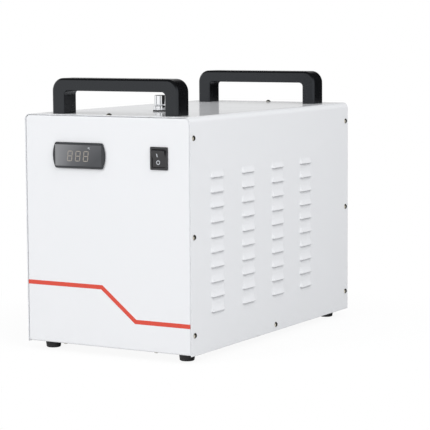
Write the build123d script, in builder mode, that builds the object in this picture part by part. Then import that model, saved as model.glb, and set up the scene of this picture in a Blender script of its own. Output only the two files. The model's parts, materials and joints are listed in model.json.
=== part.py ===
from build123d import *
import os
from math import cos, pi, radians, sin, sqrt, tan

os.makedirs("parts", exist_ok=True)

# Every size is in millimetres. The front of the casing faces -Y, +X is its right side
# seen from the front, and the feet stand on z = 0.

# Casing sheet metal
casing_width = 270.0
casing_depth = 475.0
cover_height = 322.0
sheet = 1.2
cover_bend_radius = 8.0
panel_bend_radius = 2.0
seam_gap = 0.4
cover_overhang = 1.2
flange_depth = 18.0
bottom_flange_depth = 11.0
base_flange_height = 14.0
corner_notch = 12.0

# Louvres pressed out of both sides of the cover
louvre_length = 38.0
louvre_rise = 10.0
louvre_reach = 3.2
louvre_draw_in = 4.0
louvre_pitch = 20.5
louvre_rows = 10
louvre_low_edge = 53.5
louvre_columns = 4
louvre_column_pitch = 87.0
louvre_first_column = 70.5

# Cover screws
screw_radius = 2.0
screw_head_radius = 4.0
screw_head_height = 2.6
screw_length = 6.0
screw_clearance = 0.2
side_screw_inset = 8.5
side_screw_margin = 28.0
base_screw_height = 9.2
top_screw_inset = 10.0
panel_screw_spacing = 150.0
panel_screw_head_height = 2.0
panel_screw_length = 5.0
panel_screw_inset = 6.5

# Feet
foot_height = 13.2
foot_top_radius = 11.6
foot_bottom_radius = 10.0
foot_edge_chamfer = 1.0
foot_side_inset = 24.0
foot_end_inset = 27.5
foot_recess_radius = 5.0
foot_recess_depth = 5.5
foot_head_height = 3.0
nut_height = 3.2
nut_across_flats = 7.0
screw_end_proud = 0.6

# Carrying handles
handle_length = 206.0
handle_depth = 30.5
handle_height = 49.5
handle_leg = 20.8
grip_thickness = 17.5
handle_corner_radius = 18.0
grip_inner_radius = 6.0
handle_edge_chamfer = 2.6
grip_edge_chamfer = 1.4
handle_offset_x = 4.0
front_handle_inset = 30.4
rear_handle_inset = 44.7
handle_bolt_radius = 3.0
handle_bolt_depth = 20.0
handle_bolt_head_radius = 6.5
handle_bolt_head_height = 4.6
handle_bolt_clearance = 0.3
handle_bolt_end_gap = 0.6
thread_clearance = 0.1

# Temperature controller in the front panel
display_width = 86.0
display_height = 36.0
display_centre_x = -43.0
display_drop = 56.0
display_proud = 3.6
display_end_bulge = 4.5
display_edge_radius = 1.4
display_corner_radius = 3.0
window_width = 77.0
window_height = 29.6
window_recess = 1.4
window_thickness = 1.1
window_clearance = 0.2
controller_width = 71.0
controller_height = 29.0
controller_depth = 58.0
controller_terminal_depth = 9.0
controller_terminal_height = 10.0
cutout_clearance = 0.4
clip_width = 6.0
clip_length = 24.0
clip_height = 16.0

# Rocker switch in the front panel
switch_width = 27.5
switch_height = 31.0
switch_centre_x = 86.5
switch_bezel = 2.0
switch_bezel_radius = 1.0
switch_body_width = 24.4
switch_body_height = 28.0
switch_body_depth = 21.0
rocker_width = 20.8
rocker_radius = 11.9
rocker_side_clearance = 0.3
rocker_end_clearance = 0.35
rocker_throw = 24.0
rocker_axis_depth = 0.6
rocker_valley = 1.6
rocker_depth = 6.5
rocker_pin_radius = 1.2
rocker_pin_length = 1.0
running_clearance = 0.06
terminal_width = 6.3
terminal_thickness = 0.8
terminal_length = 9.0
terminal_spacing_x = 12.0
terminal_spacing_z = 14.0

# Filler on the top of the cover
filler_x = 9.0
filler_inset = 126.5
filler_gasket_radius = 9.6
filler_gasket_thickness = 1.9
filler_collar_radius = 8.7
filler_collar_height = 6.2
filler_collar_chamfer = 0.5
filler_stem_radius = 8.0
filler_bore_radius = 5.2
filler_stem_drop = 32.0
filler_hole_clearance = 0.3
filler_nut_across_flats = 24.0
filler_nut_height = 5.0
cap_radius = 7.5
cap_height = 15.2
cap_edge_radius = 1.2
cap_neck_radius = 6.6
cap_neck_height = 2.0
cap_plug_radius = 4.9
cap_plug_length = 7.0

# Water tank behind the front panel
tank_length = 200.0
tank_side_gap = 15.8
tank_height = 184.0
tank_wall = 2.0
tank_corner_radius = 12.0
tank_setback = 36.0
tank_rim = 6.0
lid_thickness = 2.0
spigot_radius = 4.0
spigot_bore_radius = 2.6
spigot_length = 12.0
fill_spigot_length = 15.0

# Hoses between the inner pieces
hose_radius = 6.0
hose_bore_radius = 4.2
hose_end_gap = 0.6
fill_hose_wall = 2.5
fill_hose_clearance = 0.2
hose_straight = 1.5
return_bend = 40.0

# Circulation pump
pump_x = -40.0
pump_axis_height = 40.0
pump_volute_radius = 33.0
pump_volute_length = 24.0
pump_motor_radius = 28.0
pump_motor_length = 82.0
pump_tank_gap = 46.0
pump_outlet_radius = 7.5
pump_outlet_height = 4.0
pump_motor_edge_radius = 4.0
pump_saddle_width = 60.0
pump_saddle_length = 56.0
pump_saddle_gap = 0.3
pump_foot_overhang = 9.0
pump_foot_thickness = 3.0

# Axial fan behind the rear panel
fan_size = 150.0
fan_depth = 50.0
fan_corner_radius = 6.0
fan_bore_radius = 71.0
fan_duct_wall = 3.0
fan_flange = 5.0
fan_hole_spacing = 124.5
fan_centre_x = 0.0
fan_drop = 98.0
fan_strut_count = 4
fan_strut_width = 8.0
fan_strut_depth = 5.0
fan_motor_plate_radius = 30.0
fan_hub_radius = 34.0
fan_hub_wall = 2.5
fan_hub_length = 34.0
fan_hub_edge_radius = 3.0
fan_hub_gap = 1.5
fan_stator_radius = 26.0
fan_shaft_radius = 3.0
blade_count = 7
blade_tip_clearance = 2.5
blade_thickness = 2.0
blade_root_pitch = 42.0
blade_tip_pitch = 24.0
blade_root_chord = 34.0
blade_tip_chord = 50.0
blade_camber = 0.08
fan_screw_radius = 2.0
fan_screw_length = 12.0
fan_screw_head_height = 2.4
fan_screw_head_radius = 4.2

# Wire guard over the fan outlet
guard_wire_radius = 1.3
guard_wire_sides = 6
guard_arm_count = 4
guard_ring_count = 6
guard_inner_ring = 12.0
guard_outer_ring = 70.0
guard_standoff = 6.0
guard_arm_knee = 76.0
guard_eye_radius = 5.4
guard_eye_thickness = 1.4
guard_weld = 0.3

# Finned radiator in front of the fan
radiator_width = 164.0
radiator_height = 150.0
radiator_depth = 40.0
radiator_gap = 2.0
fin_pitch = 4.0
fin_thickness = 1.0
fin_cut_depth = 8.0
tube_passes = 5
tube_radius = 4.0
tube_pitch = 30.0
tube_overhang = 18.0
tube_bend = 14.0
tube_clearance = 0.15
tube_spigot_length = 22.0
tube_hose_cover = 14.0
bracket_flange = 12.0

# Hose fittings in the rear panel
fitting_drop = 198.0
fitting_hex_across_flats = 17.0
fitting_hex_thickness = 4.0
fitting_thread_radius = 6.5
fitting_thread_length = 9.0
fitting_nut_across_flats = 19.0
fitting_nut_height = 5.0
fitting_hole_clearance = 0.2
barb_radius = 5.0
barb_root_radius = 4.3
barb_land = 8.0
barb_pitch = 5.0
barb_count = 2

# Flow switch in the delivery line
flow_switch_radius = 13.0
flow_switch_length = 36.0
flow_switch_cap_radius = 8.0
flow_switch_cap_height = 12.0

# Drain at the foot of the rear panel
drain_x = -94.0
drain_height = 15.0
drain_stub_length = 10.0
drain_cap_length = 12.0
drain_cap_wall = 1.6
drain_cap_clearance = 0.3
drain_cap_chamfer = 0.8

# Mains inlet with its fuse drawer
inlet_x = 84.0
inlet_drop = 208.0
inlet_width = 31.0
inlet_height = 37.0
inlet_corner_radius = 3.0
inlet_flange = 2.4
inlet_body_width = 27.0
inlet_body_height = 31.0
inlet_body_depth = 24.0
inlet_socket_width = 24.4
inlet_socket_height = 16.4
inlet_socket_depth = 17.0
inlet_socket_rise = 6.0
inlet_socket_chamfer = 4.5
inlet_pin_width = 4.0
inlet_pin_thickness = 2.0
inlet_pin_length = 14.0
inlet_pin_spacing = 7.0
inlet_pin_offset = 2.0
fuse_width = 20.0
fuse_height = 6.0
fuse_length = 17.0
fuse_face_width = 22.0
fuse_face_height = 8.0
fuse_face_thickness = 1.6
fuse_clearance = 0.3
fuse_drop = 10.0

# Round alarm signal socket
alarm_x = 34.0
alarm_radius = 8.0
alarm_proud = 6.0
alarm_flange_radius = 9.5
alarm_flange_thickness = 2.0
alarm_body_length = 16.0
alarm_bore_radius = 6.4
alarm_bore_depth = 9.0
alarm_pin_radius = 1.0
alarm_pin_spacing = 4.0
alarm_pin_length = 6.0
alarm_nut_across_flats = 20.0
alarm_nut_height = 3.0

# Control board on the base
board_width = 96.0
board_length = 84.0
board_thickness = 1.6
board_side_gap = 17.8
board_tank_gap = 30.8
board_margin = 5.0
spacer_height = 8.0
spacer_radius = 3.5
transformer_size = (44.0, 36.0, 32.0)
relay_size = (20.0, 15.0, 16.0)
capacitor_radius = 7.0
capacitor_height = 24.0
capacitor_gap = 2.0
transformer_offset = 20.0
output_side_offset = 24.0
relay_offset = 17.0
first_capacitor_offset = 8.0
terminal_block_size = (70.0, 10.0, 12.0)

# Places worked out from the driving sizes
half_width = casing_width / 2
base_underside = foot_height
base_top = base_underside + sheet
panel_bottom = base_underside - sheet
cover_bottom = panel_bottom - cover_overhang
cover_top = cover_bottom + cover_height
cover_inside = cover_top - sheet
panel_width = casing_width - 2 * (sheet + seam_gap)
panel_half = panel_width / 2
panel_top = cover_inside - seam_gap
panel_corner_radius = cover_bend_radius - sheet - seam_gap

rocker_slope = tan(radians(rocker_throw))
rocker_tip_height = (
    sqrt(rocker_radius**2 * (1 + rocker_slope**2) - rocker_valley**2) - rocker_valley * rocker_slope
) / (1 + rocker_slope**2)
rocker_tip_reach = rocker_valley - rocker_axis_depth + rocker_slope * rocker_tip_height
spigot_reach = barb_land + barb_count * barb_pitch
fitting_reach = fitting_hex_thickness + spigot_reach
drain_reach = fitting_hex_thickness + drain_cap_clearance + drain_cap_length
guard_reach = guard_standoff + guard_wire_radius
front_reach = max(display_proud, rocker_tip_reach)
rear_reach = max(fitting_reach, drain_reach, guard_reach)

front_y = (front_reach - rear_reach - casing_depth) / 2
rear_y = front_y + casing_depth
front_inside = front_y + sheet
rear_inside = rear_y - sheet

foot_spread_x = half_width - foot_side_inset
foot_spread_y = casing_depth / 2 - foot_end_inset
foot_spots = [
    (name_y, name_x, side_x * foot_spread_x, front_y + casing_depth / 2 + side_y * foot_spread_y)
    for name_y, side_y in (("front", -1), ("rear", 1))
    for name_x, side_x in (("left", -1), ("right", 1))
]
front_handle_y = front_y + front_handle_inset
rear_handle_y = rear_y - rear_handle_inset
handle_bolt_offset = (handle_length - handle_leg) / 2
display_z = cover_top - display_drop
switch_z = display_z
filler_y = front_y + filler_inset
tank_width = casing_width - 2 * (sheet + tank_side_gap)
tank_front = front_inside + tank_setback
tank_rear = tank_front + tank_length
tank_middle = (tank_front + tank_rear) / 2
tank_top = base_top + tank_height
lid_top = tank_top + lid_thickness
fan_z = cover_top - fan_drop
fan_front = rear_inside - fan_depth
radiator_rear = fan_front - radiator_gap
radiator_front = radiator_rear - radiator_depth
radiator_middle = (radiator_front + radiator_rear) / 2
tube_end_x = radiator_width / 2 + tube_overhang
tube_top_z = fan_z + tube_pitch * (tube_passes - 1) / 2
tube_bottom_z = fan_z - tube_pitch * (tube_passes - 1) / 2
tube_mouth = radiator_front - tube_spigot_length
fitting_z = cover_top - fitting_drop
return_x = -tube_end_x
drain_z = base_top + drain_height
inlet_z = cover_top - inlet_drop
pump_z = base_top + pump_axis_height
volute_front = tank_rear + pump_tank_gap
volute_middle = volute_front + pump_volute_length / 2
pump_outlet_x = pump_x + pump_volute_radius - pump_outlet_radius
pump_outlet_top = pump_z + pump_volute_radius + pump_outlet_height
delivery_bend = fitting_z - pump_outlet_top - spigot_length - hose_straight
fitting_thread_end = rear_inside - fitting_thread_length
flow_switch_front = fitting_thread_end - flow_switch_length
return_turn_y = tube_mouth - return_bend - hose_straight


def cross_plane(y):
    """Upright plane across the casing at depth y, drawn as seen from the front."""
    return Plane.XZ.offset(-y)


def hex_radius(across_flats):
    """Corner radius of a hexagon of this width across its flats."""
    return across_flats / 2 / cos(pi / 6)


def folded_channel(width, low, high, radius, open_low):
    """Section of a sheet folded at two corners, open at its low or at its high end."""
    middle = (low + high + (-sheet if open_low else sheet)) / 2
    with Locations((0, middle)):
        Rectangle(width, high - low + sheet)
    fillet(vertices().group_by(Axis.Y)[-1 if open_low else 0], radius)
    offset(amount=-sheet, mode=Mode.SUBTRACT)
    with Locations((0, low - sheet / 2 if open_low else high + sheet / 2)):
        Rectangle(width, sheet, mode=Mode.SUBTRACT)


def wedge_outline(back, reach, half_back, half_reach):
    """Trapezium of a louvre in plan, from behind the sheet to its reach."""
    Polygon((back, -half_back), (reach, -half_reach), (reach, half_reach), (back, half_back), align=None)


def louvre_wedge(back, reach, top_reach, half_length, rise):
    """Wedge that stands out most at its low edge, with slanted ends that draw in upwards."""
    slant = louvre_draw_in / (louvre_reach + sheet)
    with BuildPart() as wedge:
        with BuildSketch(Plane.XY):
            wedge_outline(back, reach, half_length, half_length - slant * (reach - back))
        with BuildSketch(Plane.XY.offset(rise)):
            half_top = half_length - louvre_draw_in / 2
            wedge_outline(back, top_reach, half_top, half_top - slant * (top_reach - back))
        loft(ruled=True)
    return wedge.part


def louvre_spots():
    """Places of all the louvres' low edges on the two outer side faces."""
    spots = []
    for side, turn in ((1, 0), (-1, 180)):
        for column in range(louvre_columns):
            for row in range(louvre_rows):
                y = front_y + louvre_first_column + column * louvre_column_pitch
                z = cover_bottom + louvre_low_edge + row * louvre_pitch
                spots.append(Location((side * half_width, y, z), (0, 0, turn)))
    return spots


def side_screw_spots():
    """Seats of the cover screws on both sides, each with its shank pointing inwards."""
    heights = (side_screw_margin, cover_height / 2, cover_height - side_screw_margin)
    spots = []
    for side in (1, -1):
        for y in (front_y + side_screw_inset, rear_y - side_screw_inset):
            for height in heights:
                spots.append(Location((side * half_width, y, cover_bottom + height), (0, side * 90, 0)))
        y = front_y + casing_depth / 2
        spots.append(Location((side * half_width, y, cover_bottom + base_screw_height), (0, side * 90, 0)))
    return spots


def top_screw_spots():
    """Seats of the two cover screws on the top."""
    return [Location((0, y, cover_top)) for y in (front_y + top_screw_inset, rear_y - top_screw_inset)]


def cover_screw_spots():
    """Seats of all the cover screws."""
    return side_screw_spots() + top_screw_spots()


def screw_holes(spots):
    """Cut a clearance hole for a cover screw at each seat."""
    with Locations(*spots):
        Cylinder(screw_radius + screw_clearance, 6 * screw_length, mode=Mode.SUBTRACT)


def round_screw(radius, length, head_radius, head_height):
    """Screw with a rounded head, its seat at the origin and its shank downwards."""
    with BuildPart() as screw:
        Cylinder(head_radius, head_height, align=(Align.CENTER, Align.CENTER, Align.MIN))
        fillet(edges().group_by(Axis.Z)[-1], head_height / 2)
        Cylinder(radius, length, align=(Align.CENTER, Align.CENTER, Align.MAX))
    return screw.part


def panel_screw_spots():
    """Seats under the casing of the screws that join the end panels to the base."""
    ends = (front_y + panel_screw_inset, rear_y - panel_screw_inset)
    return [
        Location((side * panel_screw_spacing / 2, y, panel_bottom), (180, 0, 0))
        for y in ends
        for side in (-1, 1)
    ]


def end_panel_pan(face_y, inwards):
    """Pan of an end panel: its face flush with the cover's edge and its flanges turned inwards."""
    with BuildPart() as pan:
        with BuildSketch(cross_plane(face_y)):
            with Locations((0, (panel_bottom + panel_top) / 2)):
                Rectangle(panel_width, panel_top - panel_bottom)
            fillet(vertices().group_by(Axis.Y)[-1], panel_corner_radius)
        extrude(amount=-inwards * flange_depth)
        face_side = 0 if inwards > 0 else -1
        fillet(faces().sort_by(Axis.Y)[face_side].edges(), panel_bend_radius)
        offset(amount=-sheet, openings=faces().sort_by(Axis.Y)[-1 if inwards > 0 else 0])
        notch_middle = face_y + inwards * (panel_bend_radius + flange_depth)
        with Locations(*[(side * panel_half, notch_middle, panel_top) for side in (-1, 1)]):
            Box(2 * corner_notch, 2 * flange_depth, 2 * corner_notch, mode=Mode.SUBTRACT)
        trim_middle = face_y + inwards * (bottom_flange_depth + flange_depth)
        with Locations((0, trim_middle, panel_bottom)):
            Box(panel_width - 2 * sheet, 2 * flange_depth, 4 * sheet, mode=Mode.SUBTRACT)
    return pan.part


def rod_along_y(x, z, y_from, y_to, radius, mode=Mode.ADD):
    """Round rod, or round hole, along Y between two depths."""
    with Locations(Location((x, (y_from + y_to) / 2, z), (90, 0, 0))):
        Cylinder(radius, abs(y_to - y_from), mode=mode)


def hose_run(points, bend):
    """Hose of constant section along straight runs joined by tangent arcs."""
    with BuildPart() as run:
        with BuildLine():
            route = FilletPolyline(*points, radius=bend)
        with BuildSketch(Plane(origin=route @ 0, z_dir=route % 0)):
            Circle(hose_radius)
            Circle(hose_bore_radius, mode=Mode.SUBTRACT)
        sweep()
    return run.part


# Cover
louvre_slope = sqrt(1 + (louvre_reach / louvre_rise) ** 2)
louvre_skin = sheet * louvre_slope
hollow_rise = louvre_rise * (louvre_reach - louvre_skin + sheet) / louvre_reach
louvre_outer = louvre_wedge(-sheet, louvre_reach, 0, louvre_length / 2, louvre_rise)
louvre_hollow = louvre_wedge(
    -2 * sheet,
    louvre_reach - louvre_skin,
    -sheet,
    louvre_length / 2 - sheet / 2,
    hollow_rise,
)
with BuildPart() as cover:
    with BuildSketch(cross_plane(front_y)):
        folded_channel(casing_width, cover_bottom, cover_top, cover_bend_radius, True)
    extrude(amount=-casing_depth)
    with Locations(*louvre_spots()):
        add(louvre_outer)
    with Locations(*louvre_spots()):
        add(louvre_hollow, mode=Mode.SUBTRACT)
    screw_holes(cover_screw_spots())
    bolt_spots = [
        (handle_offset_x + side * handle_bolt_offset, y, cover_top)
        for y in (front_handle_y, rear_handle_y)
        for side in (-1, 1)
    ]
    with Locations(*bolt_spots):
        Cylinder(handle_bolt_radius + handle_bolt_clearance, 4 * sheet, mode=Mode.SUBTRACT)
    with Locations((filler_x, filler_y, cover_top)):
        Cylinder(filler_stem_radius + filler_hole_clearance, 4 * sheet, mode=Mode.SUBTRACT)
cover.part.label = "cover"
export_step(cover.part, "parts/cover.step")

# Front panel
with BuildPart() as front_panel:
    add(end_panel_pan(front_y, 1))
    with Locations((display_centre_x, front_inside, display_z)):
        Box(
            controller_width + 2 * cutout_clearance,
            4 * sheet,
            controller_height + 2 * cutout_clearance,
            mode=Mode.SUBTRACT,
        )
    with Locations((switch_centre_x, front_inside, switch_z)):
        Box(
            switch_body_width + 2 * cutout_clearance,
            4 * sheet,
            switch_body_height + 2 * cutout_clearance,
            mode=Mode.SUBTRACT,
        )
    screw_holes(cover_screw_spots())
    screw_holes(panel_screw_spots())
front_panel.part.label = "front_panel"
export_step(front_panel.part, "parts/front_panel.step")

# Rear panel
fan_hole_spots = [
    (fan_centre_x + side_x * fan_hole_spacing / 2, fan_z + side_z * fan_hole_spacing / 2)
    for side_x in (-1, 1)
    for side_z in (-1, 1)
]
fitting_spots = [(pump_outlet_x, fitting_z), (return_x, fitting_z), (drain_x, drain_z)]
with BuildPart() as rear_panel:
    add(end_panel_pan(rear_y, -1))
    rod_along_y(fan_centre_x, fan_z, rear_inside - sheet, rear_y + sheet, fan_bore_radius, Mode.SUBTRACT)
    for x, z in fan_hole_spots:
        hole = fan_screw_radius + screw_clearance
        rod_along_y(x, z, rear_inside - sheet, rear_y + sheet, hole, Mode.SUBTRACT)
    for x, z in fitting_spots:
        hole = fitting_thread_radius + fitting_hole_clearance
        rod_along_y(x, z, rear_inside - sheet, rear_y + sheet, hole, Mode.SUBTRACT)
    alarm_hole = alarm_radius + fitting_hole_clearance
    rod_along_y(alarm_x, inlet_z, rear_inside - sheet, rear_y + sheet, alarm_hole, Mode.SUBTRACT)
    with Locations((inlet_x, rear_inside, inlet_z)):
        Box(
            inlet_body_width + 2 * cutout_clearance,
            4 * sheet,
            inlet_body_height + 2 * cutout_clearance,
            mode=Mode.SUBTRACT,
        )
    screw_holes(cover_screw_spots())
    screw_holes(panel_screw_spots())
rear_panel.part.label = "rear_panel"
export_step(rear_panel.part, "parts/rear_panel.step")

# Base pan
with BuildPart() as base_pan:
    with BuildSketch(cross_plane(front_y + flange_depth + seam_gap)):
        base_flange_top = base_underside + base_flange_height
        folded_channel(panel_width, base_underside, base_flange_top, panel_bend_radius, False)
    extrude(amount=2 * (flange_depth + seam_gap) - casing_depth)
    with BuildSketch(Plane.XY.offset(base_underside)):
        with Locations((0, (front_y + rear_y) / 2)):
            Rectangle(
                panel_width - 2 * (sheet + seam_gap),
                casing_depth - 2 * (panel_bend_radius + seam_gap),
            )
    extrude(amount=sheet)
    screw_holes(side_screw_spots())
    screw_holes(panel_screw_spots())
    with Locations(*[(x, y, base_underside) for _, _, x, y in foot_spots]):
        Cylinder(screw_radius + screw_clearance, 4 * sheet, mode=Mode.SUBTRACT)
base_pan.part.label = "base_pan"
export_step(base_pan.part, "parts/base_pan.step")

# Screws of the cover and of the end panels
cover_screw = round_screw(screw_radius, screw_length, screw_head_radius, screw_head_height)
with BuildPart() as cover_screws:
    with Locations(*cover_screw_spots()):
        add(cover_screw)
cover_screws.part.label = "cover_screws"
export_step(cover_screws.part, "parts/cover_screws.step")

panel_screw = round_screw(screw_radius, panel_screw_length, screw_head_radius, panel_screw_head_height)
with BuildPart() as panel_screws:
    with Locations(*panel_screw_spots()):
        add(panel_screw)
panel_screws.part.label = "panel_screws"
export_step(panel_screws.part, "parts/panel_screws.step")

# Feet, each held by a screw in its recess and a nut on the base
for name_y, name_x, x, y in foot_spots:
    with BuildPart() as foot:
        with Locations((x, y, 0)):
            Cone(
                foot_bottom_radius,
                foot_top_radius,
                foot_height,
                align=(Align.CENTER, Align.CENTER, Align.MIN),
            )
            chamfer(edges().group_by(Axis.Z)[0], foot_edge_chamfer)
            Cylinder(screw_radius + screw_clearance, 3 * foot_height, mode=Mode.SUBTRACT)
            Cylinder(foot_recess_radius, 2 * foot_recess_depth, mode=Mode.SUBTRACT)
    foot.part.label = f"foot_{name_y}_{name_x}"
    export_step(foot.part, f"parts/foot_{name_y}_{name_x}.step")

foot_screw_length = foot_height - foot_recess_depth + sheet + nut_height + screw_end_proud
foot_screw = round_screw(screw_radius, foot_screw_length, screw_head_radius, foot_head_height)
with BuildPart() as foot_screws:
    with Locations(*[Location((x, y, foot_recess_depth), (180, 0, 0)) for _, _, x, y in foot_spots]):
        add(foot_screw)
foot_screws.part.label = "foot_screws"
export_step(foot_screws.part, "parts/foot_screws.step")

with BuildPart() as foot_nuts:
    with BuildSketch(Plane.XY.offset(base_top)):
        with Locations(*[(x, y) for _, _, x, y in foot_spots]):
            RegularPolygon(hex_radius(nut_across_flats), 6)
            Circle(screw_radius + thread_clearance, mode=Mode.SUBTRACT)
    extrude(amount=nut_height)
foot_nuts.part.label = "foot_nuts"
export_step(foot_nuts.part, "parts/foot_nuts.step")


# Carrying handles
def handle_form(y):
    """Moulded handle that stands on the cover, with a bolt hole up each leg."""
    grip_height = handle_height - grip_thickness
    inner_half = handle_length / 2 - handle_leg
    with BuildPart() as handle:
        with BuildSketch(cross_plane(y - handle_depth / 2)):
            with Locations((handle_offset_x, cover_top + handle_height / 2)):
                Rectangle(handle_length, handle_height)
            fillet(vertices().group_by(Axis.Y)[-1], handle_corner_radius)
            with Locations((handle_offset_x, cover_top + grip_height / 2)):
                Rectangle(2 * inner_half, grip_height, mode=Mode.SUBTRACT)
            grip_corners = [
                corner
                for corner in vertices()
                if abs(corner.X - handle_offset_x) < inner_half + sheet
                and cover_top + sheet < corner.Y < cover_top + grip_height + sheet
            ]
            fillet(grip_corners, grip_inner_radius)
        extrude(amount=-handle_depth)
        rims = faces().sort_by(Axis.Y)[0].edges() + faces().sort_by(Axis.Y)[-1].edges()
        rims = [edge for edge in rims if edge.center().Z > cover_top + sheet]
        grip_rims = [
            edge
            for edge in rims
            if edge.center().Z < cover_top + grip_height + sheet
            and abs(edge.center().X - handle_offset_x) < inner_half + sheet
        ]
        outer_rims = [edge for edge in rims if edge not in grip_rims]
        chamfer(outer_rims, handle_edge_chamfer)
        grip_rims = [
            edge
            for edge in edges()
            if edge.center().Z > cover_top + sheet
            and edge.center().Z < cover_top + grip_height + sheet
            and abs(edge.center().X - handle_offset_x) < inner_half + sheet
            and abs(abs(edge.center().Y - y) - handle_depth / 2) < thread_clearance
        ]
        chamfer(grip_rims, grip_edge_chamfer)
        bolts = [(handle_offset_x + side * handle_bolt_offset, y, cover_top) for side in (-1, 1)]
        with Locations(*bolts):
            Cylinder(handle_bolt_radius + thread_clearance, 2 * handle_bolt_depth, mode=Mode.SUBTRACT)
    return handle.part


for name, y in (("handle_front", front_handle_y), ("handle_rear", rear_handle_y)):
    with BuildPart() as handle_piece:
        add(handle_form(y))
    handle_piece.part.label = name
    export_step(handle_piece.part, f"parts/{name}.step")

handle_bolt_length = handle_bolt_depth + sheet - handle_bolt_end_gap
with BuildPart() as handle_bolts:
    for x, y, _ in bolt_spots:
        with Locations((x, y, cover_inside)):
            Cylinder(
                handle_bolt_head_radius,
                handle_bolt_head_height,
                align=(Align.CENTER, Align.CENTER, Align.MAX),
            )
            Cylinder(
                handle_bolt_radius,
                handle_bolt_length,
                align=(Align.CENTER, Align.CENTER, Align.MIN),
            )
handle_bolts.part.label = "handle_bolts"
export_step(handle_bolts.part, "parts/handle_bolts.step")

# Temperature controller: bezel on the panel, window in it, case behind and its two clips
with BuildPart() as controller_bezel:
    with BuildSketch(cross_plane(front_y)):
        left_tip = display_centre_x - display_width / 2
        right_tip = display_centre_x + display_width / 2
        left_end = left_tip + display_end_bulge
        right_end = right_tip - display_end_bulge
        low_z = display_z - display_height / 2
        high_z = display_z + display_height / 2
        with BuildLine():
            Line((left_end, low_z), (right_end, low_z))
            ThreePointArc((right_end, low_z), (right_tip, display_z), (right_end, high_z))
            Line((right_end, high_z), (left_end, high_z))
            ThreePointArc((left_end, high_z), (left_tip, display_z), (left_end, low_z))
        make_face()
        corners = vertices().group_by(Axis.Y)
        fillet(corners[0] + corners[-1], display_corner_radius)
    extrude(amount=display_proud)
    fillet(faces().sort_by(Axis.Y)[0].edges(), display_edge_radius)
    with Locations((display_centre_x, front_y - display_proud, display_z)):
        Box(
            window_width + 2 * window_clearance,
            2 * window_recess,
            window_height + 2 * window_clearance,
            mode=Mode.SUBTRACT,
        )
controller_bezel.part.label = "controller_bezel"
export_step(controller_bezel.part, "parts/controller_bezel.step")

with BuildPart() as display_window:
    window_back = front_y - display_proud + window_recess
    with Locations((display_centre_x, window_back - window_thickness / 2, display_z)):
        Box(window_width, window_thickness, window_height)
display_window.part.label = "display_window"
export_step(display_window.part, "parts/display_window.step")

with BuildPart() as controller_case:
    case_low = display_z - controller_height / 2
    with Locations((display_centre_x, front_y + controller_depth / 2, display_z)):
        Box(controller_width, controller_depth, controller_height)
    notch_y = front_y + controller_depth - controller_terminal_depth / 2
    with Locations((display_centre_x, notch_y, case_low + controller_terminal_height / 2)):
        Box(controller_width, controller_terminal_depth, controller_terminal_height, mode=Mode.SUBTRACT)
controller_case.part.label = "controller_case"
export_step(controller_case.part, "parts/controller_case.step")

with BuildPart() as controller_clips:
    for side in (-1, 1):
        clip_x = display_centre_x + side * (controller_width + clip_width) / 2
        with Locations((clip_x, front_inside + clip_length / 2, display_z)):
            Box(clip_width, clip_length, clip_height)
controller_clips.part.label = "controller_clips"
export_step(controller_clips.part, "parts/controller_clips.step")

# Rocker switch: housing through the panel, rocker on its pins, terminals behind
rocker_axis_y = front_y + rocker_axis_depth
rocker_hole_width = rocker_width + 2 * rocker_side_clearance
rocker_hole_radius = rocker_radius + rocker_end_clearance
with BuildPart() as switch_housing:
    with BuildSketch(cross_plane(front_y)):
        with Locations((switch_centre_x, switch_z)):
            RectangleRounded(switch_width, switch_height, switch_bezel_radius)
    extrude(amount=switch_bezel)
    chamfer(faces().sort_by(Axis.Y)[0].edges(), switch_bezel_radius / 2)
    with BuildSketch(cross_plane(front_y)):
        with Locations((switch_centre_x, switch_z)):
            Rectangle(switch_body_width, switch_body_height)
    extrude(amount=-switch_body_depth)
    with BuildSketch(cross_plane(rocker_axis_y + rocker_hole_radius)):
        with Locations((switch_centre_x, switch_z)):
            Rectangle(rocker_hole_width, 2 * rocker_hole_radius)
    extrude(amount=2 * rocker_hole_radius, mode=Mode.SUBTRACT)
    with Locations(Location((switch_centre_x, rocker_axis_y, switch_z), (0, 90, 0))):
        Cylinder(
            rocker_pin_radius + running_clearance,
            rocker_hole_width + 2 * rocker_pin_length,
            mode=Mode.SUBTRACT,
        )
switch_housing.part.label = "switch_housing"
export_step(switch_housing.part, "parts/switch_housing.step")

with BuildPart() as rocker:
    with BuildSketch(Plane.YZ.offset(switch_centre_x - rocker_width / 2)):
        with Locations((rocker_axis_y, switch_z)):
            Circle(rocker_radius)
            far = 2 * rocker_radius
            Polygon(
                (rocker_depth, -far),
                (rocker_depth, far),
                (-rocker_valley - far * rocker_slope, far),
                (-rocker_valley, 0),
                (-rocker_valley, -far),
                align=None,
                mode=Mode.INTERSECT,
            )
    extrude(amount=rocker_width)
    with Locations(Location((switch_centre_x, rocker_axis_y, switch_z), (0, 90, 0))):
        Cylinder(rocker_pin_radius, rocker_width + 2 * rocker_pin_length)
rocker.part.label = "rocker"
export_step(rocker.part, "parts/rocker.step")

with BuildPart() as switch_terminals:
    terminal_y = front_y + switch_body_depth + terminal_length / 2
    for side_x in (-1, 1):
        for side_z in (-1, 1):
            terminal_x = switch_centre_x + side_x * terminal_spacing_x / 2
            with Locations((terminal_x, terminal_y, switch_z + side_z * terminal_spacing_z / 2)):
                Box(terminal_width, terminal_length, terminal_thickness)
switch_terminals.part.label = "switch_terminals"
export_step(switch_terminals.part, "parts/switch_terminals.step")

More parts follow.
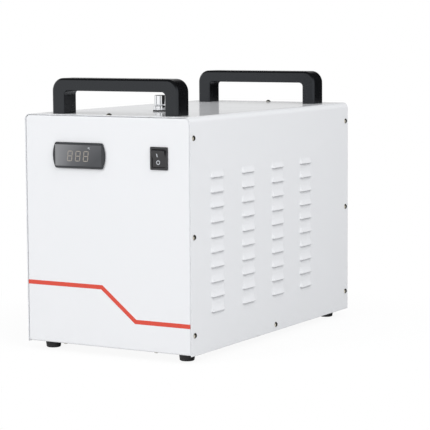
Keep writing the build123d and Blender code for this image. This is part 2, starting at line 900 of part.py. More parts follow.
# Filler: gasket and neck on the cover, nut below it, cap with its plug in the neck
collar_bottom = cover_top + filler_gasket_thickness
collar_top = collar_bottom + filler_collar_height
with BuildPart() as filler_gasket:
    with BuildSketch(Plane.XY.offset(cover_top)):
        with Locations((filler_x, filler_y)):
            Circle(filler_gasket_radius)
            Circle(filler_stem_radius + filler_hole_clearance, mode=Mode.SUBTRACT)
    extrude(amount=filler_gasket_thickness)
filler_gasket.part.label = "filler_gasket"
export_step(filler_gasket.part, "parts/filler_gasket.step")

with BuildPart() as filler_neck:
    with Locations((filler_x, filler_y, collar_bottom)):
        Cylinder(
            filler_collar_radius,
            filler_collar_height,
            align=(Align.CENTER, Align.CENTER, Align.MIN),
        )
    chamfer(edges().group_by(Axis.Z)[-1], filler_collar_chamfer)
    with Locations((filler_x, filler_y, cover_top - filler_stem_drop)):
        stem_height = filler_stem_drop + filler_gasket_thickness
        Cylinder(filler_stem_radius, stem_height, align=(Align.CENTER, Align.CENTER, Align.MIN))
    with Locations((filler_x, filler_y, cover_top)):
        Cylinder(filler_bore_radius, 4 * filler_stem_drop, mode=Mode.SUBTRACT)
filler_neck.part.label = "filler_neck"
export_step(filler_neck.part, "parts/filler_neck.step")

with BuildPart() as filler_nut:
    with BuildSketch(Plane.XY.offset(cover_inside - filler_nut_height)):
        with Locations((filler_x, filler_y)):
            RegularPolygon(hex_radius(filler_nut_across_flats), 6)
            Circle(filler_stem_radius + thread_clearance, mode=Mode.SUBTRACT)
    extrude(amount=filler_nut_height)
filler_nut.part.label = "filler_nut"
export_step(filler_nut.part, "parts/filler_nut.step")

with BuildPart() as filler_cap:
    with Locations((filler_x, filler_y, collar_top)):
        Cylinder(cap_neck_radius, cap_neck_height, align=(Align.CENTER, Align.CENTER, Align.MIN))
        Cylinder(cap_plug_radius, cap_plug_length, align=(Align.CENTER, Align.CENTER, Align.MAX))
    with Locations((filler_x, filler_y, collar_top + cap_neck_height)):
        Cylinder(cap_radius, cap_height - cap_neck_height, align=(Align.CENTER, Align.CENTER, Align.MIN))
    fillet(edges().group_by(Axis.Z)[-1], cap_edge_radius)
filler_cap.part.label = "filler_cap"
export_step(filler_cap.part, "parts/filler_cap.step")

# Water tank, its lid and the hose down from the filler
with BuildPart() as water_tank:
    with BuildSketch(Plane.XY.offset(base_top)):
        with Locations((0, tank_middle)):
            RectangleRounded(tank_width, tank_length, tank_corner_radius)
    extrude(amount=tank_height)
    offset(amount=-tank_wall, openings=faces().sort_by(Axis.Z)[-1])
    with BuildSketch(Plane.XY.offset(tank_top - tank_wall)):
        with Locations((0, tank_middle)):
            rim_width = tank_width + 2 * tank_rim
            rim_length = tank_length + 2 * tank_rim
            RectangleRounded(rim_width, rim_length, tank_corner_radius + tank_rim)
            RectangleRounded(
                tank_width - tank_wall,
                tank_length - tank_wall,
                tank_corner_radius - tank_wall / 2,
                mode=Mode.SUBTRACT,
            )
    extrude(amount=tank_wall)
    tank_ports = [(pump_x, pump_z), (tube_end_x, tube_bottom_z), (drain_x, drain_z)]
    for x, z in tank_ports:
        rod_along_y(x, z, tank_rear - tank_wall / 2, tank_rear + spigot_length, spigot_radius)
    for x, z in tank_ports:
        bore_end = tank_rear + 2 * spigot_length
        rod_along_y(x, z, tank_rear - 2 * tank_wall, bore_end, spigot_bore_radius, Mode.SUBTRACT)
water_tank.part.label = "water_tank"
export_step(water_tank.part, "parts/water_tank.step")

with BuildPart() as tank_lid:
    with BuildSketch(Plane.XY.offset(tank_top)):
        with Locations((0, tank_middle)):
            RectangleRounded(rim_width, rim_length, tank_corner_radius + tank_rim)
    extrude(amount=lid_thickness)
    with Locations((filler_x, filler_y, lid_top - lid_thickness / 2)):
        Cylinder(
            filler_stem_radius,
            fill_spigot_length + lid_thickness / 2,
            align=(Align.CENTER, Align.CENTER, Align.MIN),
        )
    with Locations((filler_x, filler_y, lid_top)):
        Cylinder(filler_bore_radius, 4 * fill_spigot_length, mode=Mode.SUBTRACT)
tank_lid.part.label = "tank_lid"
export_step(tank_lid.part, "parts/tank_lid.step")

with BuildPart() as fill_hose:
    fill_hose_bottom = lid_top + hose_end_gap
    fill_hose_top = cover_inside - filler_nut_height - hose_end_gap
    fill_hose_bore = filler_stem_radius + fill_hose_clearance
    with BuildSketch(Plane.XY.offset(fill_hose_bottom)):
        with Locations((filler_x, filler_y)):
            Circle(fill_hose_bore + fill_hose_wall)
            Circle(fill_hose_bore, mode=Mode.SUBTRACT)
    extrude(amount=fill_hose_top - fill_hose_bottom)
fill_hose.part.label = "fill_hose"
export_step(fill_hose.part, "parts/fill_hose.step")

# Circulation pump: volute with its ports, motor, saddle and the suction hose from the tank
with BuildPart() as pump_housing:
    volute_rear = volute_front + pump_volute_length
    rod_along_y(pump_x, pump_z, volute_front, volute_rear, pump_volute_radius)
    rod_along_y(pump_x, pump_z, volute_front - spigot_length, volute_front, spigot_radius)
    with Locations((pump_outlet_x, volute_middle, pump_z)):
        Cylinder(
            pump_outlet_radius,
            pump_outlet_top - pump_z,
            align=(Align.CENTER, Align.CENTER, Align.MIN),
        )
    with Locations((pump_outlet_x, volute_middle, pump_outlet_top)):
        Cylinder(spigot_radius, spigot_length, align=(Align.CENTER, Align.CENTER, Align.MIN))
        Cylinder(spigot_bore_radius, 3 * spigot_length, mode=Mode.SUBTRACT)
    port_start = volute_front - 2 * spigot_length
    rod_along_y(pump_x, pump_z, port_start, volute_middle, spigot_bore_radius, Mode.SUBTRACT)
pump_housing.part.label = "pump_housing"
export_step(pump_housing.part, "parts/pump_housing.step")

with BuildPart() as pump_motor:
    motor_rear = volute_rear + pump_motor_length
    rod_along_y(pump_x, pump_z, volute_rear, motor_rear, pump_motor_radius)
    fillet(faces().sort_by(Axis.Y)[-1].edges(), pump_motor_edge_radius)
pump_motor.part.label = "pump_motor"
export_step(pump_motor.part, "parts/pump_motor.step")

with BuildPart() as pump_bracket:
    saddle_middle = (volute_rear + motor_rear) / 2
    saddle_height = pump_axis_height - pump_motor_radius / 2
    foot_width = pump_saddle_width + 2 * pump_foot_overhang
    with Locations((pump_x, saddle_middle, base_top)):
        bottom = (Align.CENTER, Align.CENTER, Align.MIN)
        Box(foot_width, pump_saddle_length, pump_foot_thickness, align=bottom)
        Box(pump_saddle_width, pump_saddle_length, saddle_height, align=bottom)
    saddle_bore = pump_motor_radius + pump_saddle_gap
    rod_along_y(pump_x, pump_z, volute_rear, motor_rear, saddle_bore, Mode.SUBTRACT)
pump_bracket.part.label = "pump_bracket"
export_step(pump_bracket.part, "parts/pump_bracket.step")


# Straight and bent hoses, each pushed over a spigot at both ends
def straight_hose(x, z, start_y, end_y):
    """Hose along Y between two depths."""
    with BuildPart() as hose:
        rod_along_y(x, z, start_y, end_y, hose_radius)
        rod_along_y(x, z, start_y, end_y, hose_bore_radius, Mode.SUBTRACT)
    return hose.part


straight_hoses = {
    "suction_hose": (pump_x, pump_z, volute_front - hose_end_gap),
    "radiator_hose": (tube_end_x, tube_bottom_z, tube_mouth + tube_hose_cover),
    "drain_hose": (drain_x, drain_z, fitting_thread_end - hose_end_gap),
}
for name, (x, z, end_y) in straight_hoses.items():
    with BuildPart() as hose_piece:
        add(straight_hose(x, z, tank_rear + hose_end_gap, end_y))
    hose_piece.part.label = name
    export_step(hose_piece.part, f"parts/{name}.step")

delivery_points = (
    (pump_outlet_x, volute_middle, pump_outlet_top + hose_end_gap),
    (pump_outlet_x, volute_middle, fitting_z),
    (pump_outlet_x, flow_switch_front - hose_end_gap, fitting_z),
)
with BuildPart() as delivery_hose:
    add(hose_run(delivery_points, delivery_bend))
delivery_hose.part.label = "delivery_hose"
export_step(delivery_hose.part, "parts/delivery_hose.step")

return_points = (
    (return_x, fitting_thread_end - hose_end_gap, fitting_z),
    (return_x, return_turn_y, fitting_z),
    (return_x, return_turn_y, tube_top_z),
    (return_x, tube_mouth + tube_hose_cover, tube_top_z),
)
with BuildPart() as return_hose:
    add(hose_run(return_points, return_bend))
return_hose.part.label = "return_hose"
export_step(return_hose.part, "parts/return_hose.step")

# Flow switch between the delivery hose and the outlet fitting
with BuildPart() as flow_switch:
    rod_along_y(pump_outlet_x, fitting_z, flow_switch_front, fitting_thread_end, flow_switch_radius)
    flow_spigot_front = flow_switch_front - spigot_length
    rod_along_y(pump_outlet_x, fitting_z, flow_spigot_front, flow_switch_front, spigot_radius)
    with Locations((pump_outlet_x, (flow_switch_front + fitting_thread_end) / 2, fitting_z)):
        Cylinder(
            flow_switch_cap_radius,
            flow_switch_radius + flow_switch_cap_height,
            align=(Align.CENTER, Align.CENTER, Align.MAX),
        )
    socket_front = fitting_thread_end - spigot_length - hose_end_gap
    for bore, bore_front in (
        (spigot_bore_radius, flow_spigot_front - sheet),
        (hose_bore_radius, socket_front),
    ):
        rod_along_y(pump_outlet_x, fitting_z, bore_front, fitting_thread_end, bore, Mode.SUBTRACT)
flow_switch.part.label = "flow_switch"
export_step(flow_switch.part, "parts/flow_switch.step")


# Fittings through the rear panel, each with a nut inside
def panel_fitting(outer_profile):
    """Turned fitting whose outer end has the given profile of radius against reach."""
    tail_end = -sheet - fitting_thread_length
    with BuildPart() as fitting:
        with BuildSketch(Plane.XZ):
            with BuildLine():
                Polyline(
                    (spigot_bore_radius, tail_end - spigot_length),
                    (spigot_radius, tail_end - spigot_length),
                    (spigot_radius, tail_end),
                    (fitting_thread_radius, tail_end),
                    (fitting_thread_radius, fitting_hex_thickness / 2),
                    *outer_profile,
                    (spigot_bore_radius, outer_profile[-1][1]),
                    close=True,
                )
            make_face()
        revolve(axis=Axis.Z)
        with BuildSketch(Plane.XY):
            RegularPolygon(hex_radius(fitting_hex_across_flats), 6)
            Circle(spigot_radius, mode=Mode.SUBTRACT)
        extrude(amount=fitting_hex_thickness)
    return fitting.part


barb_profile = [
    (barb_radius, fitting_hex_thickness / 2),
    (barb_radius, fitting_hex_thickness + barb_land),
]
for barb in range(barb_count):
    barb_start = fitting_hex_thickness + barb_land + barb * barb_pitch
    if barb > 0:
        barb_profile.append((barb_radius, barb_start))
    barb_profile.append((barb_root_radius, barb_start + barb_pitch))
stub_end = fitting_hex_thickness + drain_stub_length
stub_profile = [(fitting_thread_radius, stub_end)]

panel_fittings = {
    "outlet_fitting": (pump_outlet_x, fitting_z, barb_profile),
    "return_fitting": (return_x, fitting_z, barb_profile),
    "drain_fitting": (drain_x, drain_z, stub_profile),
}
for name, (x, z, profile) in panel_fittings.items():
    with BuildPart() as fitting_piece:
        with Locations(Location((x, rear_y, z), (-90, 0, 0))):
            add(panel_fitting(profile))
    fitting_piece.part.label = name
    export_step(fitting_piece.part, f"parts/{name}.step")

with BuildPart() as fitting_nuts:
    with BuildSketch(cross_plane(rear_inside)):
        with Locations(*fitting_spots):
            RegularPolygon(hex_radius(fitting_nut_across_flats), 6)
            Circle(fitting_thread_radius + thread_clearance, mode=Mode.SUBTRACT)
    extrude(amount=fitting_nut_height)
fitting_nuts.part.label = "fitting_nuts"
export_step(fitting_nuts.part, "parts/fitting_nuts.step")

with BuildPart() as drain_cap:
    cap_start = rear_y + fitting_hex_thickness + drain_cap_clearance
    cap_bore = fitting_thread_radius + drain_cap_clearance
    cap_end = cap_start + drain_cap_length
    rod_along_y(drain_x, drain_z, cap_start, cap_end, cap_bore + drain_cap_wall)
    chamfer(faces().sort_by(Axis.Y)[-1].edges(), drain_cap_chamfer)
    rod_along_y(drain_x, drain_z, cap_start, cap_end - drain_cap_wall, cap_bore, Mode.SUBTRACT)
drain_cap.part.label = "drain_cap"
export_step(drain_cap.part, "parts/drain_cap.step")

# Fan frame: two square flanges, the round duct, the struts and the motor plate in one casting
fan_plate_front = rear_inside - fan_strut_depth
with BuildPart() as fan_frame:
    with BuildSketch(cross_plane(fan_front)):
        with Locations((fan_centre_x, fan_z)):
            Circle(fan_bore_radius + fan_duct_wall)
            Circle(fan_bore_radius, mode=Mode.SUBTRACT)
    extrude(amount=-fan_depth)
    with BuildSketch(cross_plane(fan_front), cross_plane(rear_inside - fan_flange)):
        with Locations((fan_centre_x, fan_z)):
            RectangleRounded(fan_size, fan_size, fan_corner_radius)
            Circle(fan_bore_radius, mode=Mode.SUBTRACT)
            with GridLocations(fan_hole_spacing, fan_hole_spacing, 2, 2):
                Circle(fan_screw_radius + screw_clearance, mode=Mode.SUBTRACT)
    extrude(amount=-fan_flange)
    with BuildSketch(cross_plane(fan_plate_front)):
        with Locations((fan_centre_x, fan_z)):
            Circle(fan_motor_plate_radius)
            strut_span = 2 * fan_bore_radius + fan_duct_wall
            for strut in range(fan_strut_count // 2):
                Rectangle(strut_span, fan_strut_width, rotation=45 + strut * 360 / fan_strut_count)
    extrude(amount=-fan_strut_depth)
fan_frame.part.label = "fan_frame"
export_step(fan_frame.part, "parts/fan_frame.step")

# Fan motor on the plate, with the bore that the rotor's shaft turns in
fan_hub_rear = fan_plate_front - fan_hub_gap
fan_hub_front = fan_hub_rear - fan_hub_length
fan_stator_front = fan_hub_front + fan_hub_wall + fan_hub_gap
with BuildPart() as fan_motor:
    rod_along_y(fan_centre_x, fan_z, fan_stator_front, fan_plate_front, fan_stator_radius)
    shaft_bore = fan_shaft_radius + running_clearance
    rod_along_y(fan_centre_x, fan_z, fan_stator_front, fan_plate_front, shaft_bore, Mode.SUBTRACT)
fan_motor.part.label = "fan_motor"
export_step(fan_motor.part, "parts/fan_motor.step")


def blade_section(radius, chord, pitch):
    """Cambered section of a blade, square to its radius, on a fan whose axis is Z."""
    lean = radians(pitch)
    plane = Plane(origin=(radius, 0, 0), x_dir=(0, cos(lean), sin(lean)), z_dir=(1, 0, 0))
    half = chord / 2
    rise = blade_camber * chord
    crown = rise + blade_thickness
    with BuildSketch(plane) as section:
        with BuildLine():
            ThreePointArc((-half, 0), (0, rise), (half, 0))
            Line((half, 0), (half, blade_thickness))
            ThreePointArc((half, blade_thickness), (0, crown), (-half, blade_thickness))
            Line((-half, blade_thickness), (-half, 0))
        make_face()
    return section.sketch


def rotor_form():
    """Rotor on its own axis: hub cup open below, shaft inside it and blades round it."""
    tip_radius = fan_bore_radius - blade_tip_clearance
    cup_radius = fan_hub_radius - fan_hub_wall
    root = blade_section(cup_radius - fan_hub_wall, blade_root_chord, blade_root_pitch)
    tip = blade_section(fan_bore_radius, blade_tip_chord, blade_tip_pitch)
    with BuildPart() as blade:
        loft([root, tip])
    with BuildPart() as rotor:
        with PolarLocations(0, blade_count):
            add(blade.part)
        Cylinder(tip_radius, 2 * fan_hub_length, mode=Mode.INTERSECT)
        Cylinder(fan_hub_radius, fan_hub_length)
        fillet(edges().filter_by(GeomType.CIRCLE).group_by(Axis.Z)[-1], fan_hub_edge_radius)
        with Locations((0, 0, -fan_hub_wall)):
            Cylinder(cup_radius, fan_hub_length, mode=Mode.SUBTRACT)
        with Locations((0, 0, fan_hub_length / 2 - fan_hub_wall)):
            shaft_length = fan_hub_length - fan_hub_wall
            Cylinder(fan_shaft_radius, shaft_length, align=(Align.CENTER, Align.CENTER, Align.MAX))
    return rotor.part


with BuildPart() as fan_rotor:
    with Locations(Location((fan_centre_x, (fan_hub_front + fan_hub_rear) / 2, fan_z), (90, 0, 0))):
        add(rotor_form())
fan_rotor.part.label = "fan_rotor"
export_step(fan_rotor.part, "parts/fan_rotor.step")


# Wire guard: rings welded on four arms that step down to an eye at each corner screw
def guard_form():
    """Guard on its own axis, standing on z = 0."""
    eye_reach = fan_hole_spacing / sqrt(2)
    arm_z = guard_standoff - 2 * guard_wire_radius + guard_weld
    ring_step = (guard_outer_ring - guard_inner_ring) / (guard_ring_count - 1)
    with BuildPart() as arm:
        with BuildLine():
            Polyline(
                (0, 0, arm_z),
                (guard_arm_knee, 0, arm_z),
                (eye_reach - guard_eye_radius + guard_weld, 0, guard_wire_radius + guard_weld),
            )
        with BuildSketch(Plane(origin=(0, 0, arm_z), z_dir=(1, 0, 0))):
            RegularPolygon(guard_wire_radius, guard_wire_sides)
        sweep(transition=Transition.RIGHT)
        with Locations((eye_reach, 0, guard_eye_thickness / 2)):
            Cylinder(guard_eye_radius, guard_eye_thickness)
            Cylinder(fan_screw_radius + screw_clearance, 2 * guard_eye_thickness, mode=Mode.SUBTRACT)
    with BuildPart() as rings:
        with BuildSketch(Plane.XZ):
            for ring in range(guard_ring_count):
                with Locations((guard_inner_ring + ring * ring_step, guard_standoff)):
                    RegularPolygon(guard_wire_radius, guard_wire_sides)
        revolve(axis=Axis.Z)
    with BuildPart() as guard:
        add(rings.part)
        with PolarLocations(0, guard_arm_count, start_angle=180 / guard_arm_count):
            add(arm.part)
    return guard.part


with BuildPart() as fan_guard:
    with Locations(Location((fan_centre_x, rear_y, fan_z), (-90, 0, 0))):
        add(guard_form())
fan_guard.part.label = "fan_guard"
export_step(fan_guard.part, "parts/fan_guard.step")

fan_screw = round_screw(fan_screw_radius, fan_screw_length, fan_screw_head_radius, fan_screw_head_height)
with BuildPart() as fan_screws:
    fan_screw_seat = rear_y + guard_eye_thickness
    with Locations(*[Location((x, fan_screw_seat, z), (-90, 0, 0)) for x, z in fan_hole_spots]):
        add(fan_screw)
fan_screws.part.label = "fan_screws"
export_step(fan_screws.part, "parts/fan_screws.step")

# Radiator: fin block, serpentine tube through it and the brackets that hold it to the rear panel
tube_heights = [tube_top_z - tube_pitch * row for row in range(tube_passes)]
with BuildPart() as radiator_fins:
    with Locations((0, radiator_middle, fan_z)):
        Box(radiator_width, radiator_depth, radiator_height)
    fin_gap = fin_pitch - fin_thickness
    fin_gaps = int((radiator_width - fin_thickness) / fin_pitch)
    for face_y in (radiator_front, radiator_rear):
        with Locations((0, face_y, fan_z)):
            with GridLocations(fin_pitch, fin_pitch, fin_gaps, 1):
                Box(fin_gap, 2 * fin_cut_depth, 2 * radiator_height, mode=Mode.SUBTRACT)
    with Locations(*[Location((0, radiator_middle, z), (0, 90, 0)) for z in tube_heights]):
        Cylinder(tube_radius + tube_clearance, 2 * radiator_width, mode=Mode.SUBTRACT)
radiator_fins.part.label = "radiator_fins"
export_step(radiator_fins.part, "parts/radiator_fins.step")

tube_points = [(-tube_end_x, tube_mouth, tube_top_z)]
for row, z in enumerate(tube_heights):
    start_side = -1 if row % 2 == 0 else 1
    tube_points.append((start_side * tube_end_x, radiator_middle, z))
    tube_points.append((-start_side * tube_end_x, radiator_middle, z))
last_side = 1 if tube_passes % 2 == 1 else -1
tube_points.append((last_side * tube_end_x, tube_mouth, tube_bottom_z))
with BuildPart() as radiator_tube:
    with BuildLine():
        tube_route = FilletPolyline(*tube_points, radius=tube_bend)
    with BuildSketch(Plane(origin=tube_route @ 0, z_dir=tube_route % 0)):
        Circle(tube_radius)
    sweep()
radiator_tube.part.label = "radiator_tube"
export_step(radiator_tube.part, "parts/radiator_tube.step")

for name, side in (("radiator_bracket_left", -1), ("radiator_bracket_right", 1)):
    with BuildPart() as bracket:
        plate_x = side * (radiator_width / 2 + sheet / 2)
        plate_length = rear_inside - radiator_front
        with Locations((plate_x, radiator_front + plate_length / 2, fan_z)):
            Box(sheet, plate_length, radiator_height)
        flange_x = side * (radiator_width / 2 + bracket_flange / 2)
        with Locations((flange_x, rear_inside - sheet / 2, fan_z)):
            Box(bracket_flange, sheet, radiator_height)
        with Locations(*[Location((plate_x, radiator_middle, z), (0, 90, 0)) for z in tube_heights]):
            Cylinder(tube_radius + 2 * tube_clearance, 4 * sheet, mode=Mode.SUBTRACT)
    bracket.part.label = name
    export_step(bracket.part, f"parts/{name}.step")

# Mains inlet: moulded housing with its socket and fuse slot, and the sliding fuse drawer
inlet_face = rear_y + inlet_flange
socket_z = inlet_z + inlet_socket_rise
fuse_z = inlet_z - fuse_drop
with BuildPart() as power_inlet:
    with BuildSketch(cross_plane(rear_y)):
        with Locations((inlet_x, inlet_z)):
            RectangleRounded(inlet_width, inlet_height, inlet_corner_radius)
    extrude(amount=-inlet_flange)
    with Locations((inlet_x, rear_y - inlet_body_depth / 2, inlet_z)):
        Box(inlet_body_width, inlet_body_depth, inlet_body_height)
    with BuildSketch(cross_plane(inlet_face)):
        with Locations((inlet_x, socket_z)):
            Rectangle(inlet_socket_width, inlet_socket_height)
        chamfer(vertices().group_by(Axis.Y)[-1], inlet_socket_chamfer)
    extrude(amount=inlet_socket_depth, mode=Mode.SUBTRACT)
    with Locations((inlet_x, inlet_face, fuse_z)):
        Box(
            fuse_width + 2 * fuse_clearance,
            2 * (fuse_length + fuse_clearance),
            fuse_height + 2 * fuse_clearance,
            mode=Mode.SUBTRACT,
        )
power_inlet.part.label = "power_inlet"
export_step(power_inlet.part, "parts/power_inlet.step")

with BuildPart() as fuse_drawer:
    with Locations((inlet_x, inlet_face - fuse_length / 2, fuse_z)):
        Box(fuse_width, fuse_length, fuse_height)
    with Locations((inlet_x, inlet_face + fuse_face_thickness / 2, fuse_z)):
        Box(fuse_face_width, fuse_face_thickness, fuse_face_height)
fuse_drawer.part.label = "fuse_drawer"
export_step(fuse_drawer.part, "parts/fuse_drawer.step")

# Alarm signal socket with its flange outside and its nut inside
with BuildPart() as alarm_socket:
    alarm_inner_end = rear_y - alarm_body_length
    alarm_outer_end = rear_y + alarm_flange_thickness + alarm_proud
    rod_along_y(alarm_x, inlet_z, alarm_inner_end, alarm_outer_end, alarm_radius)
    rod_along_y(alarm_x, inlet_z, rear_y, rear_y + alarm_flange_thickness, alarm_flange_radius)
    alarm_bore_end = alarm_outer_end - alarm_bore_depth
    rod_along_y(alarm_x, inlet_z, alarm_bore_end, alarm_outer_end, alarm_bore_radius, Mode.SUBTRACT)
alarm_socket.part.label = "alarm_socket"
export_step(alarm_socket.part, "parts/alarm_socket.step")

with BuildPart() as alarm_nut:
    with BuildSketch(cross_plane(rear_inside)):
        with Locations((alarm_x, inlet_z)):
            RegularPolygon(hex_radius(alarm_nut_across_flats), 6)
            Circle(alarm_radius + thread_clearance, mode=Mode.SUBTRACT)
    extrude(amount=alarm_nut_height)
alarm_nut.part.label = "alarm_nut"
export_step(alarm_nut.part, "parts/alarm_nut.step")

# Contact pins of the mains inlet and of the alarm socket
with BuildPart() as connector_pins:
    pin_floor = inlet_face - inlet_socket_depth
    pin_middle = pin_floor + inlet_pin_length / 2
    for side, rise in ((-1, -inlet_pin_offset), (0, inlet_pin_offset), (1, -inlet_pin_offset)):
        with Locations((inlet_x + side * inlet_pin_spacing, pin_middle, socket_z + rise)):
            Box(inlet_pin_thickness, inlet_pin_length, inlet_pin_width)
    for side in (-1, 1):
        alarm_pin_x = alarm_x + side * alarm_pin_spacing / 2
        alarm_pin_end = alarm_bore_end + alarm_pin_length
        rod_along_y(alarm_pin_x, inlet_z, alarm_bore_end, alarm_pin_end, alarm_pin_radius)
connector_pins.part.label = "connector_pins"
export_step(connector_pins.part, "parts/connector_pins.step")

# Control board with its soldered parts, on four spacers
board_bottom = base_top + spacer_height
board_x = half_width - sheet - board_side_gap - board_width / 2
board_middle_y = tank_rear + board_tank_gap + board_length / 2
board_top = board_bottom + board_thickness
with BuildPart() as control_board:
    with Locations((board_x, board_middle_y, board_bottom)):
        Box(board_width, board_length, board_thickness, align=(Align.CENTER, Align.CENTER, Align.MIN))
    standing = (Align.CENTER, Align.CENTER, Align.MIN)
    with Locations((board_x - transformer_offset, board_middle_y, board_top)):
        Box(*transformer_size, align=standing)
    output_x = board_x + output_side_offset
    with Locations((output_x, board_middle_y - relay_offset, board_top)):
        Box(*relay_size, align=standing)
    capacitor_pitch = 2 * capacitor_radius + capacitor_gap
    for step in (0, 1):
        capacitor_y = board_middle_y + first_capacitor_offset + step * capacitor_pitch
        with Locations((output_x, capacitor_y, board_top)):
            Cylinder(capacitor_radius, capacitor_height, align=standing)
    block_y = board_middle_y - board_length / 2 + terminal_block_size[1] / 2
    with Locations((board_x, block_y, board_top)):
        Box(*terminal_block_size, align=standing)
control_board.part.label = "control_board"
export_step(control_board.part, "parts/control_board.step")

with BuildPart() as board_spacers:
    with Locations((board_x, board_middle_y, base_top)):
        with GridLocations(board_width - 2 * board_margin, board_length - 2 * board_margin, 2, 2):
            Cylinder(spacer_radius, spacer_height, align=(Align.CENTER, Align.CENTER, Align.MIN))
board_spacers.part.label = "board_spacers"
export_step(board_spacers.part, "parts/board_spacers.step")
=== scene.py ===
"""Industrial water chiller: its finishes, trim and studio, built around the fixed frame.

Everything is in metres. The front faces -Y, +X is the right side seen from the front,
and the feet stand on z = 0.
"""
import json
from math import atan2, radians, tan

import bpy
from bpy.props import FloatProperty, FloatVectorProperty, PointerProperty
from mathutils import Euler, Matrix, Vector

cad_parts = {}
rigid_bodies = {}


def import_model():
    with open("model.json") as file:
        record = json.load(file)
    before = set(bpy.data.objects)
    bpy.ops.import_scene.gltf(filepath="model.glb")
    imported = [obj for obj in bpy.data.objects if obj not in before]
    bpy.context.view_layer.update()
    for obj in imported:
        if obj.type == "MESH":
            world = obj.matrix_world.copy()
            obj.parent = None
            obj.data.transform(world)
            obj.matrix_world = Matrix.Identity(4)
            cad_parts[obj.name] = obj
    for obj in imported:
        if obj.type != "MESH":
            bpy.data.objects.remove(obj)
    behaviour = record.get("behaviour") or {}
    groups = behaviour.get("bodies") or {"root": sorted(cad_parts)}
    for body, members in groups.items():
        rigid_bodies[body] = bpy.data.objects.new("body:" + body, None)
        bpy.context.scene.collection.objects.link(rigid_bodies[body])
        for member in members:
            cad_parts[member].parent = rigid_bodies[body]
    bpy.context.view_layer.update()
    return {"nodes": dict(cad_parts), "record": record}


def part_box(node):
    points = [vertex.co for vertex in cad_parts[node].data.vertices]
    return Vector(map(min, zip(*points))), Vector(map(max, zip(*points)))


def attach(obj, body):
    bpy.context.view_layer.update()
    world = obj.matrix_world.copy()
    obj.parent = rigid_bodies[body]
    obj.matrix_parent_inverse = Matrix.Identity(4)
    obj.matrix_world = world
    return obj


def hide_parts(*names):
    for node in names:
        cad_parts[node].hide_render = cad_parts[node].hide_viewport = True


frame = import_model()

bl_info = {
    "name": "Water Chiller Dressing",
    "version": (1, 0, 0),
    "blender": (4, 5, 0),
    "location": "View3D > Sidebar > Chiller",
    "description": "Dresses the water chiller with its finishes, trim and studio",
    "category": "Object",
}

# Places read from the frame
front_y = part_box("front_panel")[0].y
rear_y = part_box("rear_panel")[1].y
cover_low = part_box("cover")[0].z
cover_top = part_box("cover")[1].z
casing_screw_rise = 0.0026
casing_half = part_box("cover_screws")[1].x - casing_screw_rise
window_low, window_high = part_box("display_window")
rocker_low, rocker_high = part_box("rocker")
fan_low, fan_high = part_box("fan_frame")
fan_z = (fan_low.z + fan_high.z) / 2

# Places of the printed marks
stripe_end_gap = 0.002
stripe_bend_high_x = -0.009
stripe_bend_low_x = 0.046
digit_drop = 0.0568
digit_places = (-0.0568, -0.0436, -0.0304)
degree_place = (-0.0262, 0.0117)
degree_radii = (0.0007, 0.0004)
letter_place = (-0.0243, 0.0112)
letter_radii = (0.0013, 0.0008)
letter_gap = 0.0015
on_mark_size = (0.0013, 0.0046)
on_mark_place = (0.0845, 0.0042)
off_mark_radii = (0.0029, 0.0020)
off_mark_place = (0.0852, -0.0055)
mark_start = 0.002

# Places and sizes of the screws
shank_radius = 0.002
casing_shank = 0.006
side_screw_rises = (0.028, 0.161, 0.294)
side_screw_inset = 0.0085
low_screw_rise = 0.0092
top_screw_inset = 0.01
underside_screw_rise = 0.002
underside_shank = 0.005
underside_screw_x = 0.075
underside_screw_inset = 0.0065
underside_z = 0.012
guard_screw_radius = 0.0042
guard_screw_rise = 0.0024
guard_shank = 0.0125
guard_screw_spread = 0.06225
guard_eye_thickness = 0.0014

# Clean-up of the copied nodes
merge_distance = 0.000002
flat_angle = radians(0.4)
crease_angle = radians(32)

# Camera, fitted to the photograph
camera_place = (1.3623, -2.2856, 0.4582)
camera_pitch = radians(90 - 6.124)
camera_heading = radians(30.256)
camera_roll = -0.00631
camera_lens = 150.5
sensor_width = 36.0


# Settings
class ChillerSizes(bpy.types.PropertyGroup):
    """Sizes of the trim that is added to the casing."""

    edge_softness: FloatProperty(
        name="Edge softness", description="Width of the worn-in edge on painted and moulded pieces",
        default=0.0004, min=0.0, unit="LENGTH",
    )
    stripe_width: FloatProperty(
        name="Stripe width", description="Width of the printed stripe", default=0.006, min=0.001, unit="LENGTH",
    )
    stripe_high: FloatProperty(
        name="Stripe upper run", description="Height of the stripe's left run above the casing's low edge",
        default=0.085, unit="LENGTH",
    )
    stripe_low: FloatProperty(
        name="Stripe lower run", description="Height of the stripe's right run above the casing's low edge",
        default=0.041, unit="LENGTH",
    )
    ink_thickness: FloatProperty(
        name="Ink thickness", description="How far printed marks stand out", default=0.0001, unit="LENGTH",
    )
    digit_height: FloatProperty(
        name="Digit height", description="Height of one display digit", default=0.0148, unit="LENGTH",
    )
    digit_width: FloatProperty(
        name="Digit width", description="Width of one display digit", default=0.0085, unit="LENGTH",
    )
    digit_stroke: FloatProperty(
        name="Digit stroke", description="Width of one lit bar", default=0.0014, unit="LENGTH",
    )
    digit_slant: FloatProperty(
        name="Digit slant", description="Lean of the digits to the right", default=radians(7), subtype="ANGLE",
    )
    screw_head_radius: FloatProperty(
        name="Screw head radius", description="Radius of the domed screw heads", default=0.004, unit="LENGTH",
    )
    recess_width: FloatProperty(
        name="Recess width", description="Width of the cross recess in the screw heads", default=0.0009,
        unit="LENGTH",
    )


